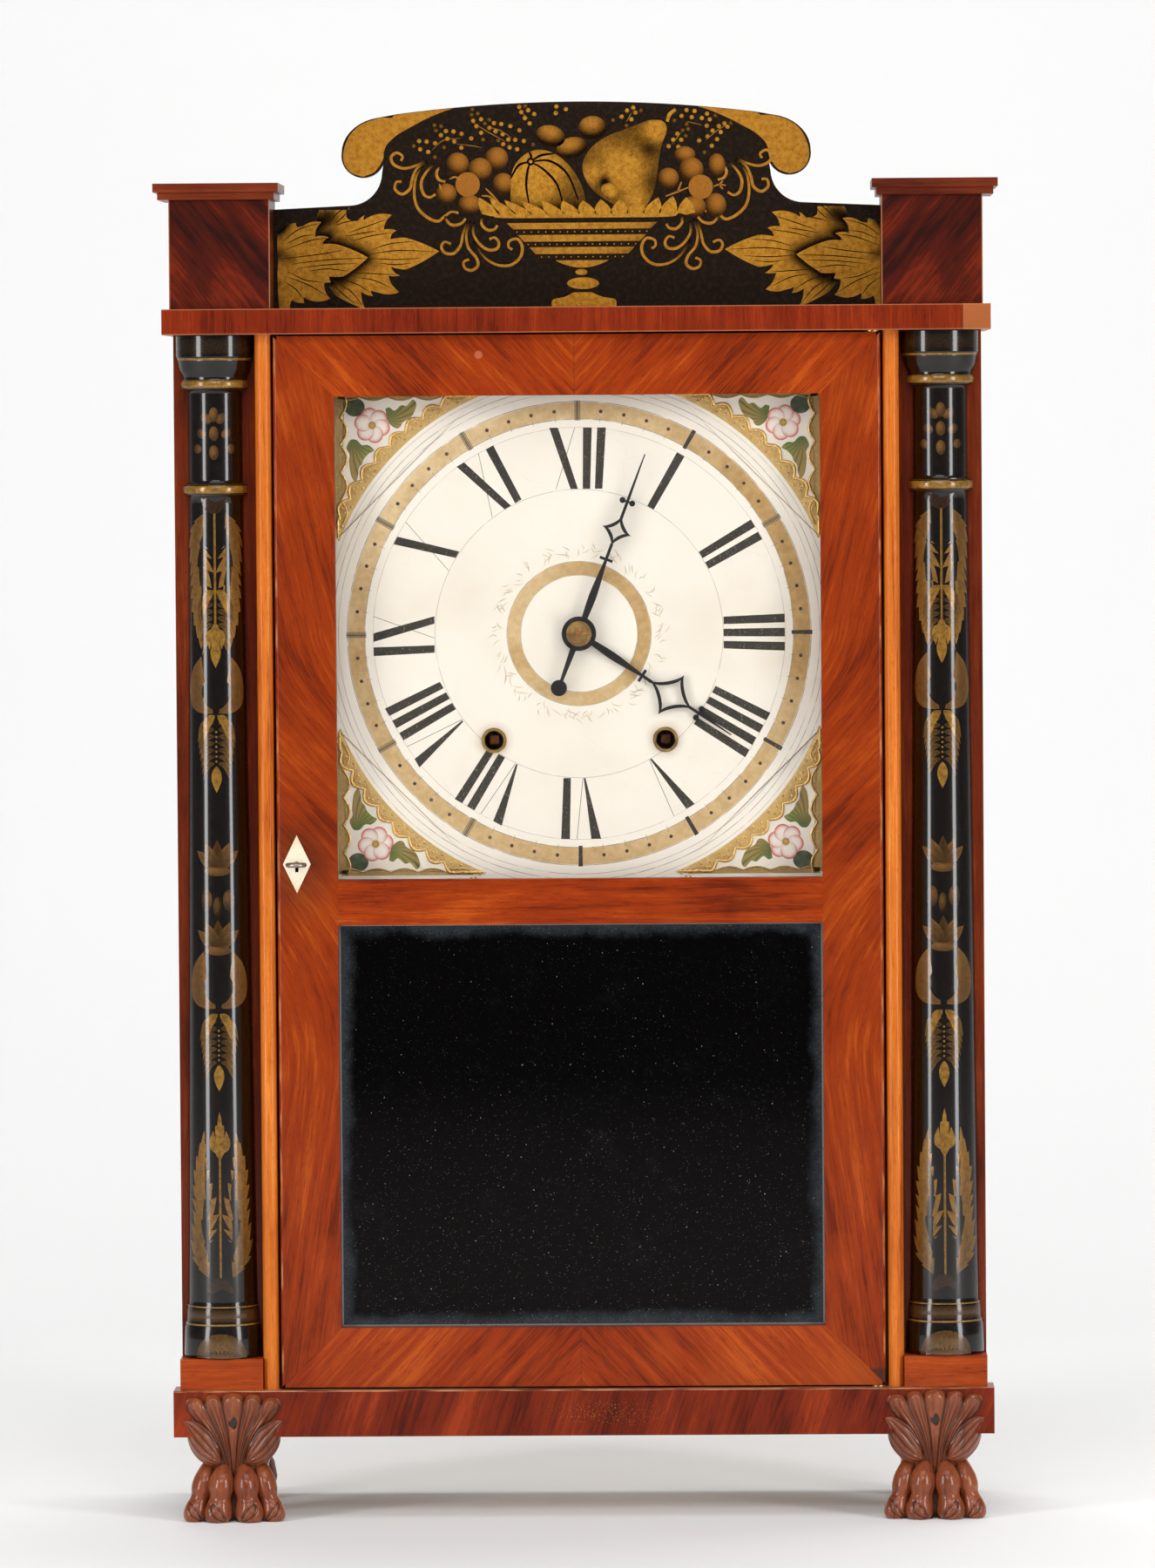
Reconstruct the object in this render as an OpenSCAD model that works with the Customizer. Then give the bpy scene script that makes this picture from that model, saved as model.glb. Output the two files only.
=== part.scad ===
// Half-column shelf clock with a wooden weight-driven time and strike movement.
// X runs left to right, Y from the front (negative) to the back, Z is up, and the feet stand on Z = 0.

/* [Case heights] */
// Height of the feet under the base rail
foot_h = 45; // [36:0.5:60]
// Height of the base rail
rail_h = 24.5; // [18:0.5:34]
// Height of the bay that holds the door and the columns
bay_h = 558; // [545:1:600]
// Thickness of the cornice board
cornice_t = 13.5; // [12:0.5:18]
// Height of the plinths that carry the caps
plinth_h = 57.5; // [50:0.5:70]
// Height of the plinth caps
cap_h = 8.5; // [6:0.5:12]
// Height of the splat at its middle
splat_h = 109; // [106:0.5:120]

/* [Case widths and depths] */
// Width of the body over the pilaster boards
body_w = 427; // [418:1:450]
// Depth from the toe tips to the back of the backboard
total_d = 140; // [136:1:170]
// Overhang of the base rail past each side of the body
rail_over = 3.5; // [1:0.5:6]
// Overhang of the cornice past each side of the body
cornice_over = 4.5; // [2:0.5:8]
// Thickness of the side boards
side_t = 8; // [6:0.5:10]
// Thickness of the backboard
back_t = 6; // [4:0.5:9]
// Thickness of the bottom board
bottom_t = 10; // [8:0.5:12]
// Width of the bay that holds each column
column_bay = 43.8; // [42:0.2:46]
// Width of the edge strips beside the door
strip_w = 8.5; // [6:0.5:9.5]
// Thickness of the pilaster boards
pilaster_t = 8; // [6:0.5:9]
// How far the pilaster boards reach past the strips into the door opening
door_stop = 4.2; // [2:0.2:6]
// Setback of the cornice front from the toe tips
cornice_setback = 6; // [4:0.5:7.5]
// Setback of the base rail front from the toe tips
rail_setback = 8; // [7:0.5:9]
// Setback of the column block fronts from the toe tips
block_setback = 12; // [10:0.5:13]
// Setback of the door front from the toe tips
door_setback = 14; // [13:0.5:15]
// Setback of the pilaster board fronts from the toe tips
pilaster_setback = 31; // [30.6:0.1:33]
// Width of each plinth
plinth_w = 53.2; // [48:0.2:60]
// Depth of each plinth
plinth_d = 55; // [45:1:60]
// Overhang of the caps past the plinths
cap_over = 4.8; // [2:0.2:6]
// Width of the step under the cap's top slab
cap_step = 2.3; // [1:0.1:2.8]
// Thickness of the splat
splat_t = 8; // [6:0.5:12]
// Recess of the splat behind the plinth fronts
splat_recess = 40.5; // [25:0.5:44]

/* [Columns] */
// Height of the square block under each column
block_h = 16.5; // [12:0.5:22]
// Radius of the column's base drum
drum_base_r = 20.9; // [20:0.1:21.2]
// Radius of the shaft at its foot
shaft_foot_r = 18.4; // [16:0.1:19]
// Radius of the shaft at its head
shaft_head_r = 14.4; // [12:0.1:16]
// Radius of the capital
capital_r = 20.5; // [18:0.1:21.2]

/* [Door] */
// Thickness of the door frame
door_t = 16.5; // [15.5:0.1:16.5]
// Gap above and below the door
door_gap = 1; // [0.8:0.1:2]
// Gap at each side of the door
door_side_gap = 1.2; // [1:0.1:2]
// Width of the door stiles
stile_w = 32; // [28:0.5:36]
// Height of the top rail
top_rail_h = 32; // [28:0.5:38]
// Height of the middle rail
mid_rail_h = 24; // [20:0.5:30]
// Height of the bottom rail
bottom_rail_h = 31.5; // [28:0.5:38]
// Height of the upper, clear-glass opening
glass_open_h = 255; // [245:1:262]
// Depth of the front lip that holds the panes
lip_t = 8; // [7:0.5:8.5]
// Width of the rabbets behind the lip
rabbet_w = 6; // [4:0.5:7]
// Thickness of the clear glass
glass_t = 2; // [1.5:0.1:2.5]
// Thickness of the mirror plate
mirror_t = 2.5; // [2:0.1:3]
// Setting of the door pivots in from the edge of the door
pivot_in = 4; // [3.8:0.1:4.2]
// Radius of the door pivot pins
pivot_r = 1.2; // [1:0.1:1.4]
// Width of the keyhole plate
escutcheon_w = 14.7; // [12:0.1:17]
// Height of the keyhole plate
escutcheon_h = 30.7; // [26:0.1:34]

/* [Dial and hands] */
// Height of the dial board
dial_h = 312; // [306:1:316]
// Thickness of the dial board
dial_t = 6; // [5:0.5:7]
// Distance of the dial front behind the pilaster fronts
dial_recess = 6; // [5.5:0.1:7]
// Distance of each winding hole from the middle
wind_x = 45.5; // [44.5:0.1:46.5]
// Depth of the winding holes below the dial centre
wind_z = 56.4; // [55.5:0.1:57]
// Length of the minute hand
minute_len = 101.2; // [90:0.5:108]
// Length of the hour hand
hour_len = 97; // [84:0.5:106]
// Thickness of the hands
hand_t = 1.2; // [0.8:0.1:1.4]

/* [Movement] */
// Half the width of the movement plates
plate_half_w = 85; // [82:1:95]
// Reach of the movement plates above the dial centre
plate_up = 84; // [82:1:92]
// Reach of the movement plates below the dial centre
plate_down = 99; // [98:1:110]
// Thickness of the movement plates
plate_t = 6; // [5:0.5:8]
// Distance between the movement plates
plate_gap = 42; // [41:0.5:46]
// Radius of the winding drums
barrel_r = 22.5; // [20:0.5:23]
// Radius of the cords
cord_r = 0.8; // [0.6:0.05:1]
// Length of the pendulum from its flexing point to the middle of the bob
pendulum_len = 278; // [240:1:290]
// Radius of the pendulum bob
bob_r = 22; // [16:0.5:26]
// Radius of the weights
weight_r = 19; // [15:0.5:20]
// Length of the weights
weight_len = 130; // [100:1:150]

/* [Hidden] */

$fn = 64;
eps = 0.01;

// Heights of the case, from the floor up
z_rail = foot_h;
z_bay = z_rail + rail_h;
z_cornice = z_bay + bay_h;
z_top = z_cornice + cornice_t;
z_cap = z_top + plinth_h;

// Depth planes, the toe tips at the front and the backboard at the back
y_toe = -total_d / 2;
y_rear = total_d / 2;
y_inside = y_rear - back_t;
y_cornice = y_toe + cornice_setback;
y_rail = y_toe + rail_setback;
y_block = y_toe + block_setback;
y_door = y_toe + door_setback;
y_pil = y_toe + pilaster_setback;
y_pil_back = y_pil + pilaster_t;

// Half widths, from the outside in
x_body = body_w / 2;
x_side = x_body - side_t;
x_bay = x_body - column_bay;
x_strip = x_bay - strip_w;
x_door = x_strip - door_side_gap;
x_pil = x_strip - door_stop;
x_open = x_door - stile_w;

// Plinths stand flush with the body but for a small overhang, the caps spread past them
plinth_over = 0.5;
x_plinth = x_body + plinth_over;
y_plinth = y_toe + 9.5;
y_splat = y_plinth + splat_recess;

// Door
door_z0 = z_bay + door_gap;
door_z1 = z_cornice - door_gap;
y_door_back = y_door + door_t;
glass_z1 = door_z1 - top_rail_h;
glass_z0 = glass_z1 - glass_open_h;
mirror_z1 = glass_z0 - mid_rail_h;
mirror_z0 = door_z0 + bottom_rail_h;
y_pane = y_door + lip_t;
pane_play = 1;
bead_t = 4;
mirror_back_t = 4;
edge_r = 2;
pivot_x = x_door - pivot_in;
pivot_y = y_door + pivot_in;
pivot_play = 0.07;
pivot_depth = 10;
washer_t = 0.7;
washer_r = 3.6;

// Lock and key
lock_drop = 119;
lock_z = (glass_z0 + glass_z1) / 2 - lock_drop;
lock_x = -(x_door - 10.5);
lock_w = 20;
lock_h = 34;
lock_front = y_pane - 1;
lock_wall = 2;
lock_x0 = -x_door + lock_wall;
bolt_w = 7.5;
bolt_len = 16.5;
bolt_throw = 5;
bolt_z0 = lock_z + 4.5;
bolt_y0 = lock_front + lock_wall + 0.5;
bolt_y1 = y_door_back - lock_wall - 0.5;
bolt_play = 0.3;
key_r = 1.5;
key_play = 0.1;
key_bit = 3.8;
key_ring_r = 4.4;
key_wire = 1.2;
escutcheon_t = 0.8;

// Dial and motion work
dial_z = (glass_z0 + glass_z1) / 2 + 1.3;
dial_gap = 3.2;
dial_z1 = z_cornice - dial_gap;
dial_z0 = dial_z1 - dial_h;
y_dial = y_pil + dial_recess;
y_dial_back = y_dial + dial_t;
dial_play = 1;
dial_hole_r = 6;
bush_r = 6.7;
bush_hole_r = 5.1;
bush_t = 1;
minute_angle = 20.6;
hour_angle = 124;
y_hour_hand = y_dial - 2;
y_minute_hand = y_dial - 5.2;
hand_hub_r = 9.1;
tip_r = 1.6;
pin_r = 0.6;
y_pin = y_minute_hand - hand_t - 1 - pin_r;
motion_space = 19;

// Movement planes, from the front plate back
y_plate_f = y_dial_back + motion_space;
y_between = y_plate_f + plate_t;
y_plate_b = y_between + plate_gap;
pair_y = y_between + 1.5;
pair_t = 2.5;
great_y = y_between + 5.5;
great_t = 4.5;
drum_y = y_between + 12;
drum_len = 17;
flange_t = 2;
flange_over = 3.5;
cord_y = y_between + 24;
third_y = y_between + 17;
second_y = y_between + 32;
wheel_t = 3;
pinion_over = 0.5;
fly_y = y_between + 22;
fly_len = 8;

// Arbors and running fits
arbor_r = 2;
center_r = 2.5;
drum_arbor_r = 4;
run = 0.05;
pivot_end = 4;

// Gear sizes: module and tooth counts
m_wheel = 0.9;
n_wheel = 72;
n_leaf = 8;
m_pair = 1.25;
n_pair = 32;
m_time = 0.85;
n_time = 96;
m_strike = 1;
n_strike = 78;
n_motion_a = 10;
n_motion_b = 30;
n_motion_c = 8;
n_motion_d = 32;
m_motion = 1;
motion_dist = m_motion * (n_motion_a + n_motion_b) / 2;
tooth_add = 0.7;
tooth_ded = 1.15;
tip_frac = 0.09;
root_frac = 0.29;
blow_pins = 8;
blow_pin_r = 1;
blow_circle = 27;
blow_pin_len = 4;

// Arbor places in the plane of the dial, measured from the dial centre
function third_point(a, b, ra, rb, side) =
  let (d = norm(b - a), u = (b - a) / d, t = (ra * ra - rb * rb + d * d) / (2 * d))
  let (h = sqrt(ra * ra - t * t))
  a + u * t + side * h * [-u[1], u[0]];
p_center = [0, 0];
p_time = [wind_x, -wind_z];
p_strike = [-wind_x, -wind_z];
d_pair = m_pair * n_pair;
d_time = m_time * (n_time + n_leaf) / 2;
d_strike = m_strike * (n_strike + n_leaf) / 2;
d_wheel = m_wheel * (n_wheel + n_leaf) / 2;
p_second = third_point(p_time, p_center, d_time, d_pair, -1);
p_escape = [16, 22];
p_third = third_point(p_second, p_escape, d_wheel, d_wheel, -1);
p_pin = third_point(p_strike, p_center, d_strike, d_pair + 0.5, 1);
p_fly = [-16, 22];
p_warn = third_point(p_pin, p_fly, d_wheel, d_wheel, 1);
p_motion = [-motion_dist, 0];
p_verge = [16, 48];
// The bell fills the room between the movement plates and the case's inner wall, its rim
// reaching a little over the plates' top corner, and the hammer stands beside it at a fixed
// reach from the warning arbor
bell_side_gap = 23;
bell_corner = 3;
bell_rise = 100;
hammer_gap = 6.5;
hammer_reach = 38.8555;
bell_r = (x_pil - bell_side_gap - plate_half_w + bell_corner) / 2;
p_bell = [-(x_pil - bell_side_gap - bell_r), bell_rise];
hammer_x = p_bell[0] + bell_r + hammer_gap;
p_hammer = [hammer_x, p_warn[1] + sqrt(pow(hammer_reach, 2) - pow(hammer_x - p_warn[0], 2))];
p_pillar = [[58, 76], [-58, 76], [76, -92], [-76, -92]];

// Cord run from the drums over the pulleys to the weights
cord_seat = 0.3;
drum_cord_r = barrel_r + cord_seat + cord_r;
pulley_cord_r = 11;
pulley_x = x_pil + 13;
pulley_z = z_cornice + 6.5 - dial_z;
pulley_w = 6;
pulley_slot_w = 11;
pulley_axle_r = 1.5;
pulley_axle_len = 24;
p_pulley = [pulley_x, pulley_z];
cord_d = p_pulley - p_time;
cord_ang = atan2(cord_d[1], cord_d[0]) + acos((drum_cord_r - pulley_cord_r) / norm(cord_d));
cord_end_ang = 330;

// Weights hang under the outer side of the pulleys
weight_x = pulley_x + pulley_cord_r;
weight_z0 = z_bay + 15;
hook_r = 5;
hook_wire = 1.4;
weight_top = weight_z0 + weight_len;
cord_low = weight_top + 2 * hook_r - hook_wire;

// Colours close to the photographed finishes
mahogany = "#9c4a1c";
deep_mahogany = "#6e2a16";
bright_mahogany = "#c06018";
black_lacquer = "#1b1512";
pine = "#c9a46b";
cherry = "#a8713f";
oak = "#b98a4e";
brass = "#b8924a";
iron = "#4a4744";
cream = "#e9e2cf";
blued = "#2b2622";
bone = "#e6dcc6";

// Box between two corners
module slab(x0, x1, y0, y1, z0, z1) {
  translate([x0, y0, z0]) cube([x1 - x0, y1 - y0, z1 - z0]);
}

// Two copies, one on each side of the middle plane
module both_sides() {
  children();
  mirror([1, 0, 0]) children();
}

// Flat outline drawn as seen from the front, carried from depth y0 back to y1
module front_plate_shape(y0, y1) {
  translate([0, y1, 0]) rotate([90, 0, 0]) linear_extrude(y1 - y0) children();
}

// Round bar along Y at a place measured from the dial centre
module rod_y(p, r, y0, y1) {
  translate([p[0], y1, dial_z + p[1]]) rotate([90, 0, 0]) cylinder(r = r, h = y1 - y0);
}

// Outline placed at a point of the dial plane
module at_dial(p, y0, y1, turn = 0) {
  translate([p[0], y1, dial_z + p[1]]) rotate([90, 0, 0]) linear_extrude(y1 - y0) rotate(turn) children();
}

function polar(r, a) = [r * cos(a), r * sin(a)];

// Turn of a gear at b that puts its gap opposite a tooth of the gear at a
function mesh_turn(a, b, turn_a, n_a, n_b) =
  let (dir = atan2(b[1] - a[1], b[0] - a[0]))
  dir + 180 + ((dir - turn_a) * n_a / 360 + 0.5) * 360 / n_b;

// Wheel outline with n straight-sided wooden teeth of module m
module gear(n, m) {
  r = m * n / 2;
  pitch = 360 / n;
  root = r - tooth_ded * m;
  tip = r + tooth_add * m;
  polygon([
    for (i = [0:n - 1])
      for (s = [[root, -root_frac], [tip, -tip_frac], [tip, tip_frac], [root, root_frac]])
        polar(s[0], (i + s[1]) * pitch)
  ]);
}

// Turn of each gear at rest, worked out along the trains
turn_center = 0;
turn_second = mesh_turn(p_center, p_second, turn_center, n_pair, n_pair);
turn_time = mesh_turn(p_second, p_time, turn_second, n_leaf, n_time);
turn_third = mesh_turn(p_second, p_third, turn_second, n_wheel, n_leaf);
turn_escape = mesh_turn(p_third, p_escape, turn_third, n_wheel, n_leaf);
turn_motion = mesh_turn(p_center, p_motion, turn_center, n_motion_a, n_motion_b);
turn_hour = mesh_turn(p_motion, p_center, turn_motion, n_motion_c, n_motion_d);
turn_pin = mesh_turn(p_strike, p_pin, 0, n_strike, n_leaf);
turn_warn = mesh_turn(p_pin, p_warn, turn_pin, n_wheel, n_leaf);
turn_fly = mesh_turn(p_warn, p_fly, turn_warn, n_wheel, n_leaf);

// Backboard over the whole height of the case
module backboard() {
  color(pine) slab(-x_body, x_body, y_inside, y_rear, z_rail, z_top);
}

module side_boards() {
  color(mahogany) both_sides() slab(x_side, x_body, y_pil_back, y_inside, z_rail, z_cornice);
}

// Bottom board with a tongue that fills the doorway between the pilaster boards
module bottom_board() {
  color(pine) union() {
    slab(-x_side, x_side, y_pil_back, y_inside, z_bay - bottom_t, z_bay);
    slab(-x_pil, x_pil, y_pil, y_pil_back + eps, z_bay - bottom_t, z_bay);
  }
}

// Top board whose front edge is the cornice, slotted for the two cord pulleys
module cornice_board() {
  slot_in = 24;
  slot_out = 16;
  color(deep_mahogany) difference() {
    slab(-x_body - cornice_over, x_body + cornice_over, y_cornice, y_inside, z_cornice, z_top);
    both_sides() {
      slab(pulley_x - slot_in, pulley_x + slot_out,
        cord_y - pulley_slot_w / 2, cord_y + pulley_slot_w / 2, z_cornice - 1, z_top + 1);
      rod_y(p_pulley, pulley_axle_r + run, cord_y - pulley_axle_len / 2 - run,
        cord_y + pulley_axle_len / 2 + run);
      slab(pulley_x - pulley_axle_r - run, pulley_x + pulley_axle_r + run,
        cord_y - pulley_axle_len / 2 - run, cord_y + pulley_axle_len / 2 + run,
        dial_z + pulley_z, z_top + 1);
    }
    translate([pivot_x, pivot_y, z_cornice - 1]) cylinder(r = pivot_r, h = pivot_depth);
  }
}

module base_rail() {
  color(deep_mahogany) difference() {
    slab(-x_body - rail_over, x_body + rail_over, y_rail, y_pil, z_rail, z_bay);
    translate([pivot_x, pivot_y, z_bay - pivot_depth + 1]) cylinder(r = pivot_r, h = pivot_depth);
    both_sides() screw_place() translate([0, 0, -screw_end - screw_fit])
      cylinder(r = screw_r + screw_fit, h = screw_end - y_rail + 1);
  }
}

module pilaster_boards() {
  color(mahogany) both_sides() slab(x_pil, x_body, y_pil, y_pil_back, z_rail, z_cornice);
}

// Half column turned in one piece, its flat back against the pilaster board
module column() {
  h = bay_h - block_h;
  profile = [
    [0, 0], [drum_base_r, 0], [drum_base_r, 1], [drum_base_r - 0.6, 17], [20.2, 17.4],
    [19.1, 26.6], [18.8, 28], [shaft_foot_r, 28.4], [shaft_head_r + 0.2, h - 87],
    [shaft_head_r, h - 85.4], [17, h - 84], [17.2, h - 81], [16.8, h - 78.4],
    [shaft_head_r, h - 78], [shaft_head_r, h - 29], [17.9, h - 28], [18.1, h - 25.6],
    [17.7, h - 23.6], [17, h - 23], [17, h - 22], [18.5, h - 21.4], [19.8, h - 12.4],
    [capital_r, h - 11.7], [capital_r, h], [0, h]
  ];
  reach = 30;
  intersection() {
    translate([x_bay + column_bay / 2, y_pil, z_bay + block_h]) rotate_extrude() polygon(profile);
    slab(x_bay - reach, x_body + reach, y_pil - reach, y_pil, z_bay, z_cornice);
  }
}

module columns() {
  color(black_lacquer) both_sides() column();
}

module column_blocks() {
  color(bright_mahogany) both_sides() slab(x_bay, x_body, y_block, y_pil, z_bay, z_bay + block_h);
}

// Edge strips with a round nose, the left one mortised for the lock bolt
module door_strips() {
  nose_r = 4;
  color(bright_mahogany) difference() {
    both_sides() translate([0, 0, z_bay]) linear_extrude(bay_h) {
      translate([x_strip, y_door + nose_r]) square([strip_w, y_pil - y_door - nose_r]);
      translate([x_strip + nose_r, y_door + nose_r]) circle(nose_r);
      translate([x_bay - nose_r, y_door + nose_r]) circle(nose_r);
      translate([x_strip + nose_r, y_door]) square([strip_w - 2 * nose_r, nose_r]);
    }
    slab(-x_strip - bolt_throw - 1, -x_strip + 1, bolt_y0 - 2 * bolt_play, bolt_y1 + 2 * bolt_play,
      bolt_z0 - 2 * bolt_play, bolt_z0 + bolt_w + 2 * bolt_play);
  }
}

module plinths() {
  color(deep_mahogany) both_sides()
    slab(x_plinth - plinth_w, x_plinth, y_plinth, y_plinth + plinth_d, z_top, z_cap);
}

// Caps of two steps, a narrow one under a wide slab
module plinth_caps() {
  slab_t = 4.6;
  over = cap_over + 1.6 * 2;
  color(bright_mahogany) both_sides() union() {
    slab(x_plinth - plinth_w - cap_over + cap_step, x_plinth + over - cap_step,
      y_plinth - cap_over + cap_step, y_plinth + plinth_d + cap_over - cap_step,
      z_cap, z_cap + cap_h - slab_t + eps);
    slab(x_plinth - plinth_w - cap_over, x_plinth + over,
      y_plinth - cap_over, y_plinth + plinth_d + cap_over, z_cap + cap_h - slab_t, z_cap + cap_h);
  }
}

// Half outline of the splat: flat shoulder, hollow, scrolled ear and a low crown
module splat_half() {
  shoulder_z = 53;
  hollow_c = [120.6, 72.4];
  hollow_r = 17.6;
  ear_c = [113, 81];
  ear_r = 11.5;
  brow_c = [101, splat_h - 26.5];
  brow = [23.4, 19];
  crown_x = 95;
  crown_drop = 6;
  polygon(concat(
    [[0, 0], [x_plinth - plinth_w, 0], [x_plinth - plinth_w, shoulder_z]],
    [for (a = [270:-8:182]) hollow_c + polar(hollow_r, a)],
    [ear_c - [ear_r, 0], ear_c + [ear_r, 0]],
    [for (a = [0:9:81]) [brow_c[0] + brow[0] * cos(a), brow_c[1] + brow[1] * sin(a)]],
    [for (x = [crown_x:-10:0]) [x, splat_h - crown_drop * pow(x / crown_x, 2)]],
    [[0, splat_h]]
  ));
  translate(ear_c) circle(ear_r);
}

module splat() {
  color(black_lacquer) translate([0, 0, z_top]) front_plate_shape(y_splat, y_splat + splat_t) {
    splat_half();
    mirror([1, 0]) splat_half();
  }
}

// Carved paw with four toes under a shell of five leaf lobes
foot_x = x_body - 28;
foot_screw_z = z_rail + 8;
screw_head_r = 2.4;
screw_r = 1.2;
screw_seat = y_rail - 2;
screw_end = y_rail + 12;
screw_fit = 0.05;
module screw_place() {
  translate([foot_x, 0, foot_screw_z]) rotate([90, 0, 0]) children();
}

toe_fn = 16;
module toe(dx, spread) {
  hull() {
    translate([foot_x + dx * 0.8, y_toe + 22, 21]) sphere(6.2, $fn = toe_fn);
    translate([foot_x + dx, y_toe + 14, 12.5]) sphere(6.6, $fn = toe_fn);
  }
  hull() {
    translate([foot_x + dx, y_toe + 14, 12.5]) sphere(6.6, $fn = toe_fn);
    translate([foot_x + dx + spread, y_toe + 5.7, 5]) sphere(5.9, $fn = toe_fn);
  }
}

module leaf_lobe(dx, dz, r) {
  hull() {
    translate([foot_x + dx, y_rail, z_bay - dz]) sphere(r, $fn = toe_fn);
    translate([foot_x + dx * 0.25, y_rail + 3, z_rail - 6]) sphere(4.5, $fn = toe_fn);
  }
}

module paw_foot() {
  tuck = 6;
  difference() {
    union() {
      for (t = [[-19, -1], [-6.5, -0.4], [6.5, 0.4], [19, 1]]) toe(t[0], t[1]);
      hull() {
        translate([foot_x, y_toe + 27, z_rail - 17]) cylinder(r = 18, h = 1, $fn = 32);
        translate([foot_x, y_toe + 29, z_rail - tuck]) cylinder(r = 23.6, h = tuck, $fn = 32);
      }
      hull() {
        translate([foot_x, y_toe + 27, z_rail - 17]) cylinder(r = 18, h = 1, $fn = 32);
        translate([foot_x, y_toe + 28, 0]) cylinder(r = 20, h = 1, $fn = 32);
      }
      leaf_lobe(-21, 9, 4.6);
      leaf_lobe(-11.5, 5.5, 5);
      leaf_lobe(0, 5, 5);
      leaf_lobe(11.5, 5.5, 5);
      leaf_lobe(21, 9, 4.6);
    }
    slab(foot_x - 60, foot_x + 60, y_toe - 20, y_rear, -20, 0);
    slab(foot_x - 60, foot_x + 60, y_rail, y_rear, z_rail, z_bay + 20);
    slab(foot_x - 60, foot_x + 60, y_toe - 20, y_toe, -20, z_bay);
    screw_place() translate([0, 0, -screw_seat]) cylinder(r = screw_head_r + screw_fit, h = 20, $fn = 24);
    screw_place() translate([0, 0, -y_rail - 1]) cylinder(r = screw_r + screw_fit, h = 10, $fn = 24);
  }
}

module paw_feet() {
  color(mahogany) both_sides() paw_foot();
}

// Plain turned feet under the back corners, each on a round block against the bottom board
module rear_feet() {
  rear_in = 28;
  block_r = 18;
  block_top = z_bay - bottom_t;
  color(deep_mahogany) both_sides()
    translate([x_body - rear_in, y_inside - rear_in + 4, 0]) rotate_extrude()
      polygon([[0, 0], [13, 0], [16, 4], [17.5, 12], [16, 20], [12.5, 26], [12, 30], [17, foot_h - 9],
        [19, foot_h - 3], [19, foot_h - 0.3], [block_r, foot_h - 0.3], [block_r, block_top], [0, block_top]]);
}

// One screw through the middle lobe of each leaf into the base rail
module foot_screws() {
  head_t = 1.4;
  color(iron) both_sides() screw_place() union() {
    translate([0, 0, -screw_seat]) cylinder(r = screw_head_r, h = head_t);
    translate([0, 0, -screw_end]) cylinder(r = screw_r, h = screw_end - screw_seat + 0.1);
  }
}

// Boards that part the weight channels from the movement, notched on top for the cords
module channel_dividers() {
  divider_t = 5;
  notch_h = 24;
  color(pine) difference() {
    both_sides() slab(x_pil - divider_t, x_pil, y_dial_back, y_inside, z_bay, z_cornice);
    both_sides() slab(x_pil - divider_t - 1, x_pil + 1, cord_y - pulley_slot_w / 2,
      cord_y + pulley_slot_w / 2, z_cornice - notch_h, z_cornice + 1);
  }
}

// Two rails that carry the movement and one that carries the dial
module movement_rails() {
  rail_x = x_pil - 5;
  seat_h = 20;
  seat_over = 1;
  seat_z = dial_z - plate_down;
  shelf_h = 12;
  shelf_d = 11;
  shelf_z = dial_z0;
  color(pine) {
    slab(-rail_x, rail_x, y_plate_f - seat_over, y_between + seat_over, seat_z - seat_h, seat_z);
    slab(-rail_x, rail_x, y_plate_b - seat_over, y_plate_b + plate_t + seat_over,
      seat_z - seat_h, seat_z);
    slab(-rail_x, rail_x, y_dial, y_dial + shelf_d, shelf_z - shelf_h, shelf_z);
  }
}

// Plan of a stile whose outer edge has rounded corners
module stile_plan() {
  translate([x_open, y_door]) square([stile_w - edge_r, door_t]);
  translate([x_open, y_door + edge_r]) square([stile_w, door_t - 2 * edge_r]);
  for (y = [y_door + edge_r, y_door_back - edge_r]) translate([x_door - edge_r, y]) circle(edge_r);
}

// Stile with mitred ends and rabbets behind the lip
module stile() {
  difference() {
    intersection() {
      front_plate_shape(y_door, y_door_back)
        polygon([[x_door, door_z0], [x_door, door_z1], [x_open, glass_z1], [x_open, mirror_z0]]);
      translate([0, 0, door_z0]) linear_extrude(door_z1 - door_z0) stile_plan();
    }
    pane_rabbets();
  }
}

// Room behind the lip for the clear glass and for the mirror
module pane_rabbets() {
  slab(-x_open - rabbet_w, x_open + rabbet_w, y_pane, y_door_back + 1,
    glass_z0 - rabbet_w, glass_z1 + rabbet_w);
  slab(-x_open - rabbet_w, x_open + rabbet_w, y_pane, y_door_back + 1,
    mirror_z0 - rabbet_w, mirror_z1 + rabbet_w);
}

// Outline of the keyhole, a round eye over a slot
module keyhole() {
  eye_r = key_r + key_play;
  slot_w = 1.8;
  circle(eye_r);
  translate([-slot_w / 2, -key_bit - 0.4]) square([slot_w, key_bit + 0.4]);
}

// Bores for the pivots in the door's lower and upper corner
module pivot_bores() {
  for (z = [door_z0 - 1, door_z1 - pivot_depth - 0.3])
    translate([pivot_x, pivot_y, z]) cylinder(r = pivot_r + pivot_play, h = pivot_depth + 1.3);
}

module door_stiles() {
  color(mahogany) {
    difference() {
      stile();
      pivot_bores();
    }
    difference() {
      mirror([1, 0, 0]) stile();
      slab(lock_x0, lock_x0 + lock_w, lock_front, y_door_back + 1,
        lock_z - lock_h / 2, lock_z + lock_h / 2);
      slab(-x_door - 1, lock_x0 + 1, bolt_y0 - bolt_play, bolt_y1 + bolt_play,
        bolt_z0 - bolt_play, bolt_z0 + bolt_w + bolt_play);
      translate([lock_x, 0, lock_z]) front_plate_shape(y_door - 1, lock_front + 1) keyhole();
    }
  }
}

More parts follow.
